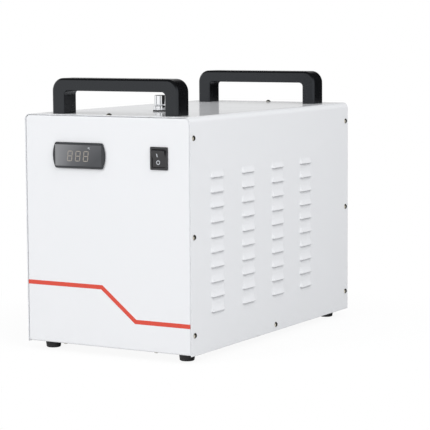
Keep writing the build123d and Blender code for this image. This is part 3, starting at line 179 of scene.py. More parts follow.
class ChillerColours(bpy.types.PropertyGroup):
    """Colours of the finishes that a user would change."""

    casing: FloatVectorProperty(
        name="Casing", description="Powder coat of the casing", default=(0.885, 0.895, 0.915),
        min=0.0, max=1.0, subtype="COLOR",
    )
    nylon: FloatVectorProperty(
        name="Handles", description="Moulded nylon of the handles", default=(0.0045, 0.0048, 0.0056),
        min=0.0, max=1.0, subtype="COLOR",
    )
    stripe: FloatVectorProperty(
        name="Stripe", description="Printed stripe on the front", default=(0.73, 0.062, 0.032),
        min=0.0, max=1.0, subtype="COLOR",
    )
    digits: FloatVectorProperty(
        name="Digits", description="Unlit bars of the display", default=(0.36, 0.33, 0.29),
        min=0.0, max=1.0, subtype="COLOR",
    )
    marks: FloatVectorProperty(
        name="Marks", description="Printed marks on the switch and display", default=(0.70, 0.74, 0.78),
        min=0.0, max=1.0, subtype="COLOR",
    )


# Mesh helpers
def activate(*pieces):
    """Make these the only selected objects, the first one active."""
    bpy.ops.object.select_all(action="DESELECT")
    for piece in pieces:
        piece.select_set(True)
    bpy.context.view_layer.objects.active = pieces[0]


def modified(piece, kind, **settings):
    """Add a modifier of this kind and apply it."""
    activate(piece)
    modifier = piece.modifiers.new(kind.title(), kind)
    for key, value in settings.items():
        setattr(modifier, key, value)
    bpy.ops.object.modifier_apply(modifier=modifier.name)


def edit(piece, *steps):
    """Run editing steps on the selected elements of a mesh."""
    activate(piece)
    bpy.ops.object.mode_set(mode="EDIT")
    for step in steps:
        step()
    bpy.ops.object.mode_set(mode="OBJECT")


def pick(piece, kind, test):
    """Select in code the vertices, edges or faces that pass a test."""
    mesh = piece.data
    kinds = ("vertices", "edges", "polygons")
    bpy.context.tool_settings.mesh_select_mode = tuple(kind == name for name in kinds)
    for name in kinds:
        for element in getattr(mesh, name):
            element.select = False
    for element in getattr(mesh, kind):
        element.select = test(element)


def move_picked(offset):
    """Editing step that moves the selected elements."""
    return lambda: bpy.ops.transform.translate(value=offset)


def extrude_picked(offset):
    """Editing step that extrudes the selected elements."""
    return lambda: bpy.ops.mesh.extrude_region_move(TRANSFORM_OT_translate={"value": offset})


def joined(pieces):
    """Join meshes into the first one."""
    activate(*pieces)
    if len(pieces) > 1:
        bpy.ops.object.join()
    return bpy.context.view_layer.objects.active


def placed_copy(piece, place):
    """Copy a modelled piece, with its own mesh, and bake its place into the mesh."""
    activate(piece)
    bpy.ops.object.duplicate()
    copy = bpy.context.view_layer.objects.active
    copy.matrix_world = place @ copy.matrix_world
    bpy.ops.object.transform_apply(location=True, rotation=True, scale=True)
    return copy


def finish_piece(piece, name, body, finish, slot, *replaced):
    """Name a piece, give it its finish and body, and hide the nodes that it stands for."""
    activate(piece)
    bpy.ops.object.transform_apply(location=True, rotation=True, scale=True)
    piece.name = name
    piece.data.name = name
    piece.data.materials.clear()
    piece.data.materials.append(finish)
    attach(piece, body)
    if replaced:
        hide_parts(*replaced)
    return piece


def slot_of(node):
    """Material slot that the record gives a node."""
    return next(part["material_slot"] for part in frame["record"]["subparts"] if part["node"] == node)


def dressed_copy(node, softness, body="casing", segments=2, angle=radians(30), merge_flats=True):
    """Stand-in for a node with the same form and its sharp edges softly rounded."""
    activate(frame["nodes"][node])
    bpy.ops.object.duplicate()
    copy = bpy.context.view_layer.objects.active
    for key in list(copy.keys()):
        del copy[key]
    bpy.ops.object.parent_clear(type="CLEAR_KEEP_TRANSFORM")
    bpy.ops.mesh.customdata_custom_splitnormals_clear()
    pick(copy, "vertices", lambda vertex: True)
    edit(copy, lambda: bpy.ops.mesh.remove_doubles(threshold=merge_distance))
    if merge_flats:
        edit(copy, lambda: bpy.ops.mesh.dissolve_limited(angle_limit=flat_angle))
    if softness:
        modified(
            copy, "BEVEL", width=softness, segments=segments, limit_method="ANGLE",
            angle_limit=angle, use_clamp_overlap=False, miter_outer="MITER_ARC",
        )
    activate(copy)
    bpy.ops.object.shade_smooth_by_angle(angle=crease_angle)
    modified(copy, "WEIGHTED_NORMAL", keep_sharp=True)
    slot = slot_of(node)
    return finish_piece(copy, node + "_dressed", body, finishes[slot], slot, node)


# Shared effects
def effect_group(name, inputs, outputs):
    """Start a shader node group with named inputs and outputs."""
    tree = bpy.data.node_groups.new(name, "ShaderNodeTree")
    for label, kind, default in inputs:
        socket = tree.interface.new_socket(name=label, in_out="INPUT", socket_type=kind)
        socket.default_value = default
    for label, kind in outputs:
        tree.interface.new_socket(name=label, in_out="OUTPUT", socket_type=kind)
    return tree, tree.nodes.new("NodeGroupInput"), tree.nodes.new("NodeGroupOutput")


def node_in(tree, kind, links=None, **settings):
    """Add a node, set its properties and sockets by name, and link its inputs."""
    node = tree.nodes.new(kind)
    for key, value in settings.items():
        if hasattr(node, key):
            setattr(node, key, value)
        else:
            node.inputs[key.replace("_", " ").title()].default_value = value
    for key, source in (links or {}).items():
        tree.links.new(source, node.inputs[key])
    return node


def noise_in(tree, scale, detail=2.0, vector=None):
    """Noise in Object coordinates. Its scale is a socket or a number."""
    place = vector or tree.nodes.new("ShaderNodeTexCoord").outputs["Object"]
    noise = node_in(tree, "ShaderNodeTexNoise", {"Vector": place}, Detail=detail)
    if isinstance(scale, (int, float)):
        noise.inputs["Scale"].default_value = scale
    else:
        tree.links.new(scale, noise.inputs["Scale"])
    return noise.outputs["Fac"]


def build_grain_relief():
    """Fine moulded or sprayed relief over softened edges."""
    tree, given, result = effect_group(
        "Grain Relief",
        (("Scale", "NodeSocketFloat", 1500.0), ("Depth", "NodeSocketFloat", 0.00002),
         ("Edge Radius", "NodeSocketFloat", 0.0003)),
        (("Normal", "NodeSocketVector"),),
    )
    soft = node_in(tree, "ShaderNodeBevel", {"Radius": given.outputs["Edge Radius"]}, samples=4)
    height = noise_in(tree, given.outputs["Scale"], detail=3.0)
    bump = node_in(
        tree, "ShaderNodeBump",
        {"Height": height, "Distance": given.outputs["Depth"], "Normal": soft.outputs["Normal"]},
    )
    tree.links.new(bump.outputs["Normal"], result.inputs["Normal"])


def build_brushed_relief():
    """Fine parallel lines left by turning or brushing."""
    tree, given, result = effect_group(
        "Brushed Relief",
        (("Stretch", "NodeSocketVector", (1.0, 1.0, 1.0)), ("Depth", "NodeSocketFloat", 0.00001)),
        (("Normal", "NodeSocketVector"),),
    )
    place = tree.nodes.new("ShaderNodeTexCoord").outputs["Object"]
    stretched = node_in(
        tree, "ShaderNodeVectorMath", {0: place, 1: given.outputs["Stretch"]}, operation="MULTIPLY",
    )
    height = noise_in(tree, 1.0, detail=3.0, vector=stretched.outputs["Vector"])
    bump = node_in(tree, "ShaderNodeBump", {"Height": height, "Distance": given.outputs["Depth"]})
    tree.links.new(bump.outputs["Normal"], result.inputs["Normal"])


def build_tone_drift():
    """Slow lightening and darkening of a colour over the surface."""
    tree, given, result = effect_group(
        "Tone Drift",
        (("Colour", "NodeSocketColor", (0.8, 0.8, 0.8, 1.0)), ("Scale", "NodeSocketFloat", 20.0),
         ("Amount", "NodeSocketFloat", 0.05)),
        (("Colour", "NodeSocketColor"),),
    )
    noise = noise_in(tree, given.outputs["Scale"], detail=4.0)
    centred = node_in(tree, "ShaderNodeMath", {0: noise}, operation="SUBTRACT")
    centred.inputs[1].default_value = 0.5
    scaled = node_in(
        tree, "ShaderNodeMath", {0: centred.outputs[0], 1: given.outputs["Amount"]}, operation="MULTIPLY_ADD",
    )
    scaled.inputs[2].default_value = 1.0
    tinted = node_in(tree, "ShaderNodeHueSaturation", {"Color": given.outputs["Colour"], "Value": scaled.outputs[0]})
    tree.links.new(tinted.outputs["Color"], result.inputs["Colour"])


def build_sheen_drift():
    """Smears and dulled patches in a surface's roughness."""
    tree, given, result = effect_group(
        "Sheen Drift",
        (("Roughness", "NodeSocketFloat", 0.4), ("Scale", "NodeSocketFloat", 30.0),
         ("Amount", "NodeSocketFloat", 0.2)),
        (("Roughness", "NodeSocketFloat"),),
    )
    noise = noise_in(tree, given.outputs["Scale"], detail=5.0)
    centred = node_in(tree, "ShaderNodeMath", {0: noise}, operation="SUBTRACT")
    centred.inputs[1].default_value = 0.5
    scaled = node_in(
        tree, "ShaderNodeMath", {0: centred.outputs[0], 1: given.outputs["Amount"]}, operation="MULTIPLY_ADD",
    )
    scaled.inputs[2].default_value = 1.0
    rough = node_in(
        tree, "ShaderNodeMath", {0: scaled.outputs[0], 1: given.outputs["Roughness"]}, operation="MULTIPLY",
    )
    tree.links.new(rough.outputs[0], result.inputs["Roughness"])


def build_painted_edge_highlight():
    """Painted edge highlight: edges lightened towards another colour, standing in for light caught on them."""
    tree, given, result = effect_group(
        "Edge Rub",
        (("Colour", "NodeSocketColor", (0.1, 0.1, 0.1, 1.0)), ("Rubbed", "NodeSocketColor", (0.3, 0.3, 0.3, 1.0)),
         ("Radius", "NodeSocketFloat", 0.0008), ("Amount", "NodeSocketFloat", 0.4)),
        (("Colour", "NodeSocketColor"),),
    )
    soft = node_in(tree, "ShaderNodeBevel", {"Radius": given.outputs["Radius"]}, samples=4)
    true_normal = tree.nodes.new("ShaderNodeNewGeometry").outputs["Normal"]
    agreement = node_in(
        tree, "ShaderNodeVectorMath", {0: soft.outputs["Normal"], 1: true_normal}, operation="DOT_PRODUCT",
    )
    edge = node_in(
        tree, "ShaderNodeMapRange", {"Value": agreement.outputs["Value"], "To Max": given.outputs["Amount"]},
        From_Min=0.995, From_Max=0.86, To_Min=0.0,
    )
    patchy = node_in(tree, "ShaderNodeMath", {0: edge.outputs[0], 1: noise_in(tree, 60.0)}, operation="MULTIPLY")
    mixed = node_in(tree, "ShaderNodeMix", data_type="RGBA")
    tree.links.new(patchy.outputs[0], mixed.inputs[0])
    tree.links.new(given.outputs["Colour"], mixed.inputs[6])
    tree.links.new(given.outputs["Rubbed"], mixed.inputs[7])
    tree.links.new(mixed.outputs[2], result.inputs["Colour"])


def build_spangle():
    """Crystal patches of a zinc or cast surface."""
    tree, given, result = effect_group(
        "Spangle",
        (("Colour", "NodeSocketColor", (0.6, 0.6, 0.6, 1.0)), ("Scale", "NodeSocketFloat", 90.0),
         ("Amount", "NodeSocketFloat", 0.12)),
        (("Colour", "NodeSocketColor"),),
    )
    place = tree.nodes.new("ShaderNodeTexCoord").outputs["Object"]
    cells = node_in(tree, "ShaderNodeTexVoronoi", {"Vector": place, "Scale": given.outputs["Scale"]})
    tone = node_in(tree, "ShaderNodeSeparateColor", {0: cells.outputs["Color"]})
    centred = node_in(tree, "ShaderNodeMath", {0: tone.outputs[0]}, operation="SUBTRACT")
    centred.inputs[1].default_value = 0.5
    scaled = node_in(
        tree, "ShaderNodeMath", {0: centred.outputs[0], 1: given.outputs["Amount"]}, operation="MULTIPLY_ADD",
    )
    scaled.inputs[2].default_value = 1.0
    tinted = node_in(tree, "ShaderNodeHueSaturation", {"Color": given.outputs["Colour"], "Value": scaled.outputs[0]})
    tree.links.new(tinted.outputs["Color"], result.inputs["Colour"])


def build_settled_dust():
    """Thin dust on faces that look upwards."""
    tree, given, result = effect_group(
        "Settled Dust",
        (("Colour", "NodeSocketColor", (0.1, 0.1, 0.1, 1.0)), ("Dust", "NodeSocketColor", (0.5, 0.48, 0.44, 1.0)),
         ("Amount", "NodeSocketFloat", 0.1)),
        (("Colour", "NodeSocketColor"),),
    )
    upward = tree.nodes.new("ShaderNodeSeparateXYZ")
    tree.links.new(tree.nodes.new("ShaderNodeNewGeometry").outputs["Normal"], upward.inputs[0])
    lying = node_in(
        tree, "ShaderNodeMapRange", {"Value": upward.outputs["Z"], "To Max": given.outputs["Amount"]},
        From_Min=0.2, From_Max=1.0, To_Min=0.0,
    )
    patchy = node_in(tree, "ShaderNodeMath", {0: lying.outputs[0], 1: noise_in(tree, 45.0, 5.0)}, operation="MULTIPLY")
    mixed = node_in(tree, "ShaderNodeMix", data_type="RGBA")
    tree.links.new(patchy.outputs[0], mixed.inputs[0])
    tree.links.new(given.outputs["Colour"], mixed.inputs[6])
    tree.links.new(given.outputs["Dust"], mixed.inputs[7])
    tree.links.new(mixed.outputs[2], result.inputs["Colour"])


# Finishes
class Finish:
    """A material in the making: one Principled shader with shared effects in front of it."""

    def __init__(self, name, colour, roughness, metallic=0.0, **sockets):
        self.material = bpy.data.materials.new(name)
        self.material.use_nodes = True
        self.tree = self.material.node_tree
        self.shader = self.tree.nodes["Principled BSDF"]
        self.colour = (*colour, 1.0)
        self.roughness = roughness
        self.shader.inputs["Base Color"].default_value = self.colour
        self.shader.inputs["Roughness"].default_value = roughness
        self.shader.inputs["Metallic"].default_value = metallic
        for label, value in sockets.items():
            self.shader.inputs[label.replace("_", " ")].default_value = value

    def place(self, group, **values):
        """Put a shared effect into this material."""
        node = self.tree.nodes.new("ShaderNodeGroup")
        node.node_tree = bpy.data.node_groups[group]
        for label, value in values.items():
            node.inputs[label.replace("_", " ")].default_value = value
        return node

    def colour_effect(self, group, **values):
        """Chain an effect on the colour."""
        node = self.place(group, **values)
        socket = self.shader.inputs["Base Color"]
        if socket.is_linked:
            self.tree.links.new(socket.links[0].from_socket, node.inputs["Colour"])
        else:
            node.inputs["Colour"].default_value = self.colour
        self.tree.links.new(node.outputs["Colour"], socket)
        return self

    def sheen(self, scale, amount):
        """Vary the roughness."""
        node = self.place("Sheen Drift", Roughness=self.roughness, Scale=scale, Amount=amount)
        self.tree.links.new(node.outputs["Roughness"], self.shader.inputs["Roughness"])
        return self

    def relief(self, group, **values):
        """Give the surface its relief."""
        node = self.place(group, **values)
        self.tree.links.new(node.outputs["Normal"], self.shader.inputs["Normal"])
        return self


def painted(name, colour):
    """Glossy powder coat with a faint orange peel."""
    finish = Finish(name, colour, 0.13, Specular_IOR_Level=0.5)
    finish.colour_effect("Tone Drift", Scale=6.0, Amount=0.012)
    finish.sheen(14.0, 0.35)
    return finish.relief("Grain Relief", Scale=420.0, Depth=0.000006, Edge_Radius=0.0012).material


def moulded(name, colour, roughness, rubbed=None, grain=1800.0, depth=0.000015, **sockets):
    """Moulded plastic or rubber with a fine grain, its edges lightened by a painted highlight when a highlight colour
    is given.
    """
    finish = Finish(name, colour, roughness, **sockets)
    finish.colour_effect("Tone Drift", Scale=30.0, Amount=0.10)
    if rubbed:
        # Painted highlight: the edges are lightened towards the given colour, where light would catch them.
        finish.colour_effect("Edge Rub", Rubbed=(*rubbed, 1.0), Radius=0.0009, Amount=0.5)
    finish.sheen(70.0, 0.25)
    return finish.relief("Grain Relief", Scale=grain, Depth=depth, Edge_Radius=0.0004).material


def turned_metal(name, colour, roughness, stretch, depth=0.000004, drift=0.08):
    """Bare or plated metal with fine tool lines."""
    finish = Finish(name, colour, roughness, metallic=1.0)
    finish.colour_effect("Tone Drift", Scale=60.0, Amount=drift)
    finish.sheen(120.0, 0.3)
    return finish.relief("Brushed Relief", Stretch=stretch, Depth=depth).material


def zinc_plated(name, colour):
    """Zinc sheet with its crystal patches."""
    finish = Finish(name, colour, 0.42, metallic=1.0)
    finish.colour_effect("Spangle", Scale=120.0, Amount=0.22)
    finish.sheen(50.0, 0.3)
    return finish.relief("Grain Relief", Scale=500.0, Depth=0.000008, Edge_Radius=0.0003).material


def rubber(name, colour, dust=0.25):
    """Dull rubber with a breath of dust."""
    finish = Finish(name, colour, 0.62, Specular_IOR_Level=0.4)
    finish.colour_effect("Tone Drift", Scale=50.0, Amount=0.12)
    finish.colour_effect("Settled Dust", Dust=(0.22, 0.21, 0.2, 1.0), Amount=dust)
    finish.sheen(90.0, 0.2)
    return finish.relief("Grain Relief", Scale=1300.0, Depth=0.00002, Edge_Radius=0.0006).material


def window_with_painted_reflection(name):
    """Smoked window with a painted reflection: its colour is paler towards its upper left, as if glare lay there."""
    finish = Finish(name, (0.2, 0.2, 0.2), 0.08, Specular_IOR_Level=0.5)
    tree = finish.tree
    # Painted reflection: a colour gradient from pale at the upper left to dark at the lower right stands in for glare
    # on the window.
    place = tree.nodes.new("ShaderNodeTexCoord").outputs["Object"]
    axes = node_in(tree, "ShaderNodeSeparateXYZ", {0: place})
    across = node_in(
        tree, "ShaderNodeMapRange", {"Value": axes.outputs["X"]},
        From_Min=window_low.x, From_Max=window_high.x,
    )
    down = node_in(
        tree, "ShaderNodeMapRange", {"Value": axes.outputs["Z"]},
        From_Min=window_high.z, From_Max=window_low.z,
    )
    share = node_in(tree, "ShaderNodeMath", {0: down.outputs[0], 1: across.outputs[0]}, operation="MULTIPLY_ADD")
    share.inputs[1].default_value = 0.5
    tree.links.new(across.outputs[0], share.inputs[2])
    painted_reflection_ramp = tree.nodes.new("ShaderNodeValToRGB")
    painted_reflection_ramp.color_ramp.elements[0].position = 0.0
    painted_reflection_ramp.color_ramp.elements[0].color = (0.25, 0.255, 0.265, 1.0)
    painted_reflection_ramp.color_ramp.elements[1].position = 1.0
    painted_reflection_ramp.color_ramp.elements[1].color = (0.05, 0.053, 0.06, 1.0)
    middle = painted_reflection_ramp.color_ramp.elements.new(0.45)
    middle.color = (0.10, 0.103, 0.112, 1.0)
    halved = node_in(tree, "ShaderNodeMath", {0: share.outputs[0]}, operation="MULTIPLY")
    halved.inputs[1].default_value = 0.67
    tree.links.new(halved.outputs[0], painted_reflection_ramp.inputs["Fac"])
    tree.links.new(painted_reflection_ramp.outputs["Color"], finish.shader.inputs["Base Color"])
    finish.colour_effect("Tone Drift", Scale=90.0, Amount=0.05)
    return finish.sheen(60.0, 0.4).material


def printed(name, colour, roughness=0.35):
    """Screen-printed ink, a little uneven."""
    finish = Finish(name, colour, roughness)
    finish.colour_effect("Tone Drift", Scale=160.0, Amount=0.05)
    finish.sheen(200.0, 0.2)
    return finish.relief("Grain Relief", Scale=2500.0, Depth=0.000004, Edge_Radius=0.0001).material


finishes = {}


def build_finishes(colours):
    """Make the shared effects and one material for each slot and print."""
    for build in (build_grain_relief, build_brushed_relief, build_tone_drift, build_sheen_drift,
                  build_painted_edge_highlight, build_spangle, build_settled_dust):
        build()
    finishes.update({
        "casing_paint": painted("white_powder_coat", colours.casing),
        "zinc_sheet": zinc_plated("zinc_plated_sheet", (0.62, 0.64, 0.66)),
        "screw_steel": turned_metal("nickel_screw_steel", (0.52, 0.495, 0.43), 0.16, (900.0, 900.0, 900.0), 0.0000006),
        # The second colour given to each moulded finish below is its painted edge highlight.
        "handle_nylon": moulded(
            "black_handle_nylon", colours.nylon, 0.28, (0.05, 0.052, 0.056), Specular_IOR_Level=0.5,
            Specular_Tint=(0.88, 0.93, 1.0, 1.0),
        ),
        "foot_rubber": rubber("black_foot_rubber", (0.014, 0.014, 0.015)),
        "bezel_plastic": moulded("slate_bezel_plastic", (0.022, 0.024, 0.029), 0.2, depth=0.000004),
        "window_plastic": window_with_painted_reflection("smoky_window_plastic"),
        "case_plastic": moulded("black_case_plastic", (0.018, 0.018, 0.02), 0.4, (0.06, 0.06, 0.06)),
        "switch_plastic": moulded("black_switch_plastic", (0.02, 0.02, 0.022), 0.32, (0.07, 0.07, 0.075)),
        "brass": turned_metal("turned_brass", (0.78, 0.56, 0.26), 0.28, (900.0, 4000.0, 900.0), drift=0.12),
        "chrome": turned_metal("polished_chrome", (0.80, 0.81, 0.83), 0.06, (120.0, 120.0, 120.0), 0.0000002, 0.03),
        "gasket_rubber": rubber("black_gasket_rubber", (0.012, 0.012, 0.013), 0.1),
        "tank_plastic": moulded(
            "milky_tank_plastic", (0.72, 0.75, 0.76), 0.38, Subsurface_Weight=0.15, Subsurface_Radius=(0.01, 0.01, 0.01),
        ),
        "hose_rubber": rubber("braidless_hose_rubber", (0.03, 0.032, 0.036), 0.2),
        "pump_plastic": moulded("glass_filled_pump_plastic", (0.03, 0.03, 0.033), 0.5, (0.09, 0.09, 0.09)),
        "motor_steel": turned_metal("motor_can_steel", (0.5, 0.5, 0.5), 0.36, (900.0, 3000.0, 900.0)),
        "fan_metal": rubber("black_fan_casting", (0.02, 0.02, 0.022), 0.5),
        "rotor_plastic": moulded("black_rotor_plastic", (0.022, 0.022, 0.024), 0.4, (0.06, 0.06, 0.06)),
        "guard_wire": turned_metal("plated_guard_wire", (0.7, 0.7, 0.7), 0.22, (1200.0, 1200.0, 1200.0)),
        "fin_aluminium": turned_metal("fin_aluminium", (0.75, 0.76, 0.77), 0.34, (1500.0, 400.0, 1500.0)),
        "tube_copper": turned_metal("copper_tube", (0.78, 0.42, 0.3), 0.3, (700.0, 700.0, 700.0), drift=0.25),
        "board_laminate": moulded("green_board_laminate", (0.02, 0.12, 0.05), 0.35),
        "stripe_ink": printed("red_stripe_ink", colours.stripe, 0.2),
        "digit_print": printed("unlit_digit_print", colours.digits, 0.3),
        "mark_print": printed("pale_mark_print", colours.marks),
    })


# Trim
def stripe_along(corners, width, thickness):
    """Closed printed stripe that follows level and slanted runs, mitred at its bends."""
    half = width / 2
    start, first, second, end = corners
    slope = (second - first).normalized()
    lean = tan(atan2(slope.z, slope.x) / 2) * half
    bpy.ops.mesh.primitive_plane_add(size=1, location=(0, 0, 0), rotation=(radians(90), 0, 0))
    stripe = bpy.context.view_layer.objects.active
    stripe.scale = (first.x - start.x, width, 1)
    stripe.location = ((start.x + first.x) / 2, start.y, start.z)
    activate(stripe)
    bpy.ops.object.transform_apply(location=True, rotation=True, scale=True)

    def at_end(x, upper):
        return lambda vertex: abs(vertex.co.x - x) < half and (vertex.co.z > start.z) == upper

    pick(stripe, "vertices", at_end(first.x, True))
    edit(stripe, move_picked((-lean, 0, 0)))
    pick(stripe, "vertices", at_end(first.x, False))
    edit(stripe, move_picked((lean, 0, 0)))
    pick(stripe, "edges", lambda edge: all(
        stripe.data.vertices[i].co.x > first.x - width for i in edge.vertices))
    edit(
        stripe,
        extrude_picked(second - first),
        extrude_picked(end - second),
    )
    pick(stripe, "vertices", lambda vertex: vertex.co.x > end.x - width and vertex.co.z > end.z)
    edit(stripe, move_picked((lean, 0, 0)))
    pick(stripe, "vertices", lambda vertex: vertex.co.x > end.x - width and vertex.co.z < end.z)
    edit(stripe, move_picked((-lean, 0, 0)))
    pick(stripe, "polygons", lambda face: True)
    edit(stripe, extrude_picked((0, -thickness, 0)))
    pick(stripe, "vertices", lambda vertex: True)
    edit(stripe, lambda: bpy.ops.mesh.normals_make_consistent(inside=False))
    return stripe


def display_bar(length, stroke, thickness):
    """One bar of a digit: a flat strip with pointed ends, level at the origin."""
    bpy.ops.mesh.primitive_circle_add(vertices=6, radius=0.5, fill_type="NGON", rotation=(radians(90), 0, 0))
    bar = bpy.context.view_layer.objects.active
    activate(bar)
    bpy.ops.object.transform_apply(location=True, rotation=True, scale=True)
    reach = max(vertex.co.x for vertex in bar.data.vertices)
    tall = max(vertex.co.z for vertex in bar.data.vertices)
    bar.scale = (stroke / 2 / reach, 1, stroke / 2 / tall)
    bpy.ops.object.transform_apply(location=False, rotation=False, scale=True)
    for side in (-1, 1):
        pick(bar, "vertices", lambda vertex: vertex.co.x * side > 0.00001)
        edit(bar, move_picked((side * (length - stroke) / 2, 0, 0)))
    pick(bar, "polygons", lambda face: True)
    edit(bar, extrude_picked((0, -thickness, 0)))
    pick(bar, "vertices", lambda vertex: True)
    edit(bar, lambda: bpy.ops.mesh.normals_make_consistent(inside=False))
    return bar


def digit_eight(sizes):
    """All seven bars of one slanted digit, centred on the origin."""
    gap = sizes.digit_stroke * 0.12
    half_height = sizes.digit_height / 2 - sizes.digit_stroke / 2
    half_width = sizes.digit_width / 2 - sizes.digit_stroke / 2
    lean = tan(sizes.digit_slant)
    level = display_bar(2 * half_width - gap, sizes.digit_stroke, sizes.ink_thickness)
    upright = display_bar(half_height - gap, sizes.digit_stroke, sizes.ink_thickness)
    bars = [
        placed_copy(level, Matrix.Translation((z * lean, 0, z))) for z in (-half_height, 0, half_height)
    ]
    turn = Matrix.Rotation(radians(90) + sizes.digit_slant, 4, "Y")
    for x in (-half_width, half_width):
        for z in (-half_height / 2, half_height / 2):
            bars.append(placed_copy(upright, Matrix.Translation((x + z * lean, 0, z)) @ turn))
    for spare in (level, upright):
        bpy.data.objects.remove(spare, do_unlink=True)
    return joined(bars)


def flat_ring(outer, inner, place, gap=0.0):
    """Flat printed ring, with a gap on its right side if that is given."""
    bpy.ops.mesh.primitive_circle_add(vertices=40, radius=outer, fill_type="NGON", rotation=(radians(90), 0, 0))
    ring = bpy.context.view_layer.objects.active
    activate(ring)
    bpy.ops.object.transform_apply(location=True, rotation=True, scale=True)
    pick(ring, "polygons", lambda face: True)
    edit(
        ring,
        lambda: bpy.ops.mesh.inset(thickness=outer - inner),
        lambda: bpy.ops.mesh.delete(type="FACE"),
    )
    if gap:
        pick(ring, "polygons", lambda face: face.center.x > 0 and abs(face.center.z) < gap / 2)
        edit(ring, lambda: bpy.ops.mesh.delete(type="FACE"))
    ring.location = place
    return ring


def flat_bar(width, height, place):
    """Flat printed bar with rounded corners."""
    bpy.ops.mesh.primitive_plane_add(size=1, rotation=(radians(90), 0, 0))
    bar = bpy.context.view_layer.objects.active
    bar.scale = (width, height, 1)
    activate(bar)
    bpy.ops.object.transform_apply(location=True, rotation=True, scale=True)
    pick(bar, "vertices", lambda vertex: True)
    edit(
        bar,
        lambda: bpy.ops.mesh.bevel(offset=width * 0.3, segments=3, affect="VERTICES"),
        lambda: bpy.ops.mesh.subdivide(number_cuts=2),
    )
    bar.location = place
    return bar


def laid_on(mark, node, thickness):
    """Lay a flat mark on the face of a node behind it and give it its thickness."""
    activate(mark)
    bpy.ops.object.transform_apply(location=True, rotation=True, scale=True)
    modified(
        mark, "SHRINKWRAP", target=frame["nodes"][node], wrap_method="PROJECT", use_project_y=True,
        use_positive_direction=True, use_negative_direction=False,
    )
    pick(mark, "polygons", lambda face: True)
    edit(mark, extrude_picked((0, -thickness, 0)))
    pick(mark, "vertices", lambda vertex: True)
    edit(mark, lambda: bpy.ops.mesh.normals_make_consistent(inside=False))
    return mark


def domed_screw(head_radius, head_height, shank_radius, length, recess):
    """Screw with a domed head, a cross recess and its shank, seated at the origin."""
    dome = (head_radius**2 + head_height**2) / (2 * head_height)
    rim = 0.15 * head_height
    bpy.ops.mesh.primitive_uv_sphere_add(segments=32, ring_count=48, radius=dome, location=(0, 0, head_height - dome))
    screw = bpy.context.view_layer.objects.active
    activate(screw)
    bpy.ops.object.transform_apply(location=True, rotation=True, scale=True)
    pick(screw, "vertices", lambda vertex: True)
    edit(screw, lambda: bpy.ops.mesh.bisect(
        plane_co=(0, 0, rim), plane_no=(0, 0, 1), clear_inner=True, use_fill=True))
    pick(screw, "polygons", lambda face: face.normal.z < -0.9)
    edit(
        screw,
        extrude_picked((0, 0, -rim)),
        lambda: bpy.ops.mesh.inset(thickness=head_radius - shank_radius),
        extrude_picked((0, 0, -length)),
        lambda: bpy.ops.transform.resize(value=(0.8, 0.8, 1)),
    )
    arms = []
    for turn in (0, radians(90)):
        bpy.ops.mesh.primitive_cube_add(size=1, location=(0, 0, head_height), rotation=(0, 0, turn))
        arm = bpy.context.view_layer.objects.active
        arm.scale = (1.15 * head_radius, recess, 1.3 * head_height)
        activate(arm)
        bpy.ops.object.transform_apply(location=True, rotation=True, scale=True)
        pick(arm, "vertices", lambda vertex: vertex.co.z < head_height)
        edit(arm, lambda: bpy.ops.transform.resize(value=(0.6, 0.6, 1)))
        arms.append(arm)
    for arm in arms:
        modified(screw, "BOOLEAN", object=arm, operation="DIFFERENCE", solver="EXACT")
        bpy.data.objects.remove(arm, do_unlink=True)
    modified(screw, "BEVEL", width=0.00012, segments=1, limit_method="ANGLE", angle_limit=radians(40))
    activate(screw)
    bpy.ops.object.shade_smooth_by_angle(angle=radians(30))
    return screw


def screw_group(name, screw, seats, *replaced):
    """Copies of one screw at all its seats, joined to one piece."""
    group = joined([placed_copy(screw, seat) for seat in seats])
    bpy.data.objects.remove(screw, do_unlink=True)
    return finish_piece(group, name, "casing", finishes["screw_steel"], "screw_steel", *replaced)


def facing(x, y, z, direction):
    """Seat at a place, its own +Z turned to a direction."""
    return Matrix.Translation((x, y, z)) @ Vector(direction).to_track_quat("Z", "Y").to_matrix().to_4x4()


# Operators
class CHILLER_OT_finishes(bpy.types.Operator):
    """Make the finishes and give every node the one of its slot"""

    bl_idname = "chiller.finishes"
    bl_label = "Finishes"

    def execute(self, context):
        build_finishes(context.scene.chiller_colours)
        for node, piece in frame["nodes"].items():
            piece.data.materials.clear()
            piece.data.materials.append(finishes[slot_of(node)])
        return {"FINISHED"}


class CHILLER_OT_casing(bpy.types.Operator):
    """Soften the edges of the painted sheet metal"""

    bl_idname = "chiller.casing"
    bl_label = "Casing"

    def execute(self, context):
        softness = context.scene.chiller_sizes.edge_softness
        dressed_copy("cover", 0.0, merge_flats=False)
        for node in ("front_panel", "rear_panel"):
            dressed_copy(node, softness)
        return {"FINISHED"}


class CHILLER_OT_stripe(bpy.types.Operator):
    """Print the stripe across the front panel"""

    bl_idname = "chiller.stripe"
    bl_label = "Stripe"

    def execute(self, context):
        sizes = context.scene.chiller_sizes
        edge = casing_half - stripe_end_gap
        high = cover_low + sizes.stripe_high
        low = cover_low + sizes.stripe_low
        corners = [Vector(spot) for spot in (
            (-edge, front_y, high), (stripe_bend_high_x, front_y, high),
            (stripe_bend_low_x, front_y, low), (edge, front_y, low))]
        stripe = stripe_along(corners, sizes.stripe_width, sizes.ink_thickness)
        finish_piece(stripe, "front_stripe", "casing", finishes["stripe_ink"], "casing_paint")
        return {"FINISHED"}


class CHILLER_OT_handles(bpy.types.Operator):
    """Dress the two carrying handles"""

    bl_idname = "chiller.handles"
    bl_label = "Handles"

    def execute(self, context):
        for node in ("handle_front", "handle_rear"):
            dressed_copy(node, 0.0006, segments=3, angle=radians(24))
        return {"FINISHED"}


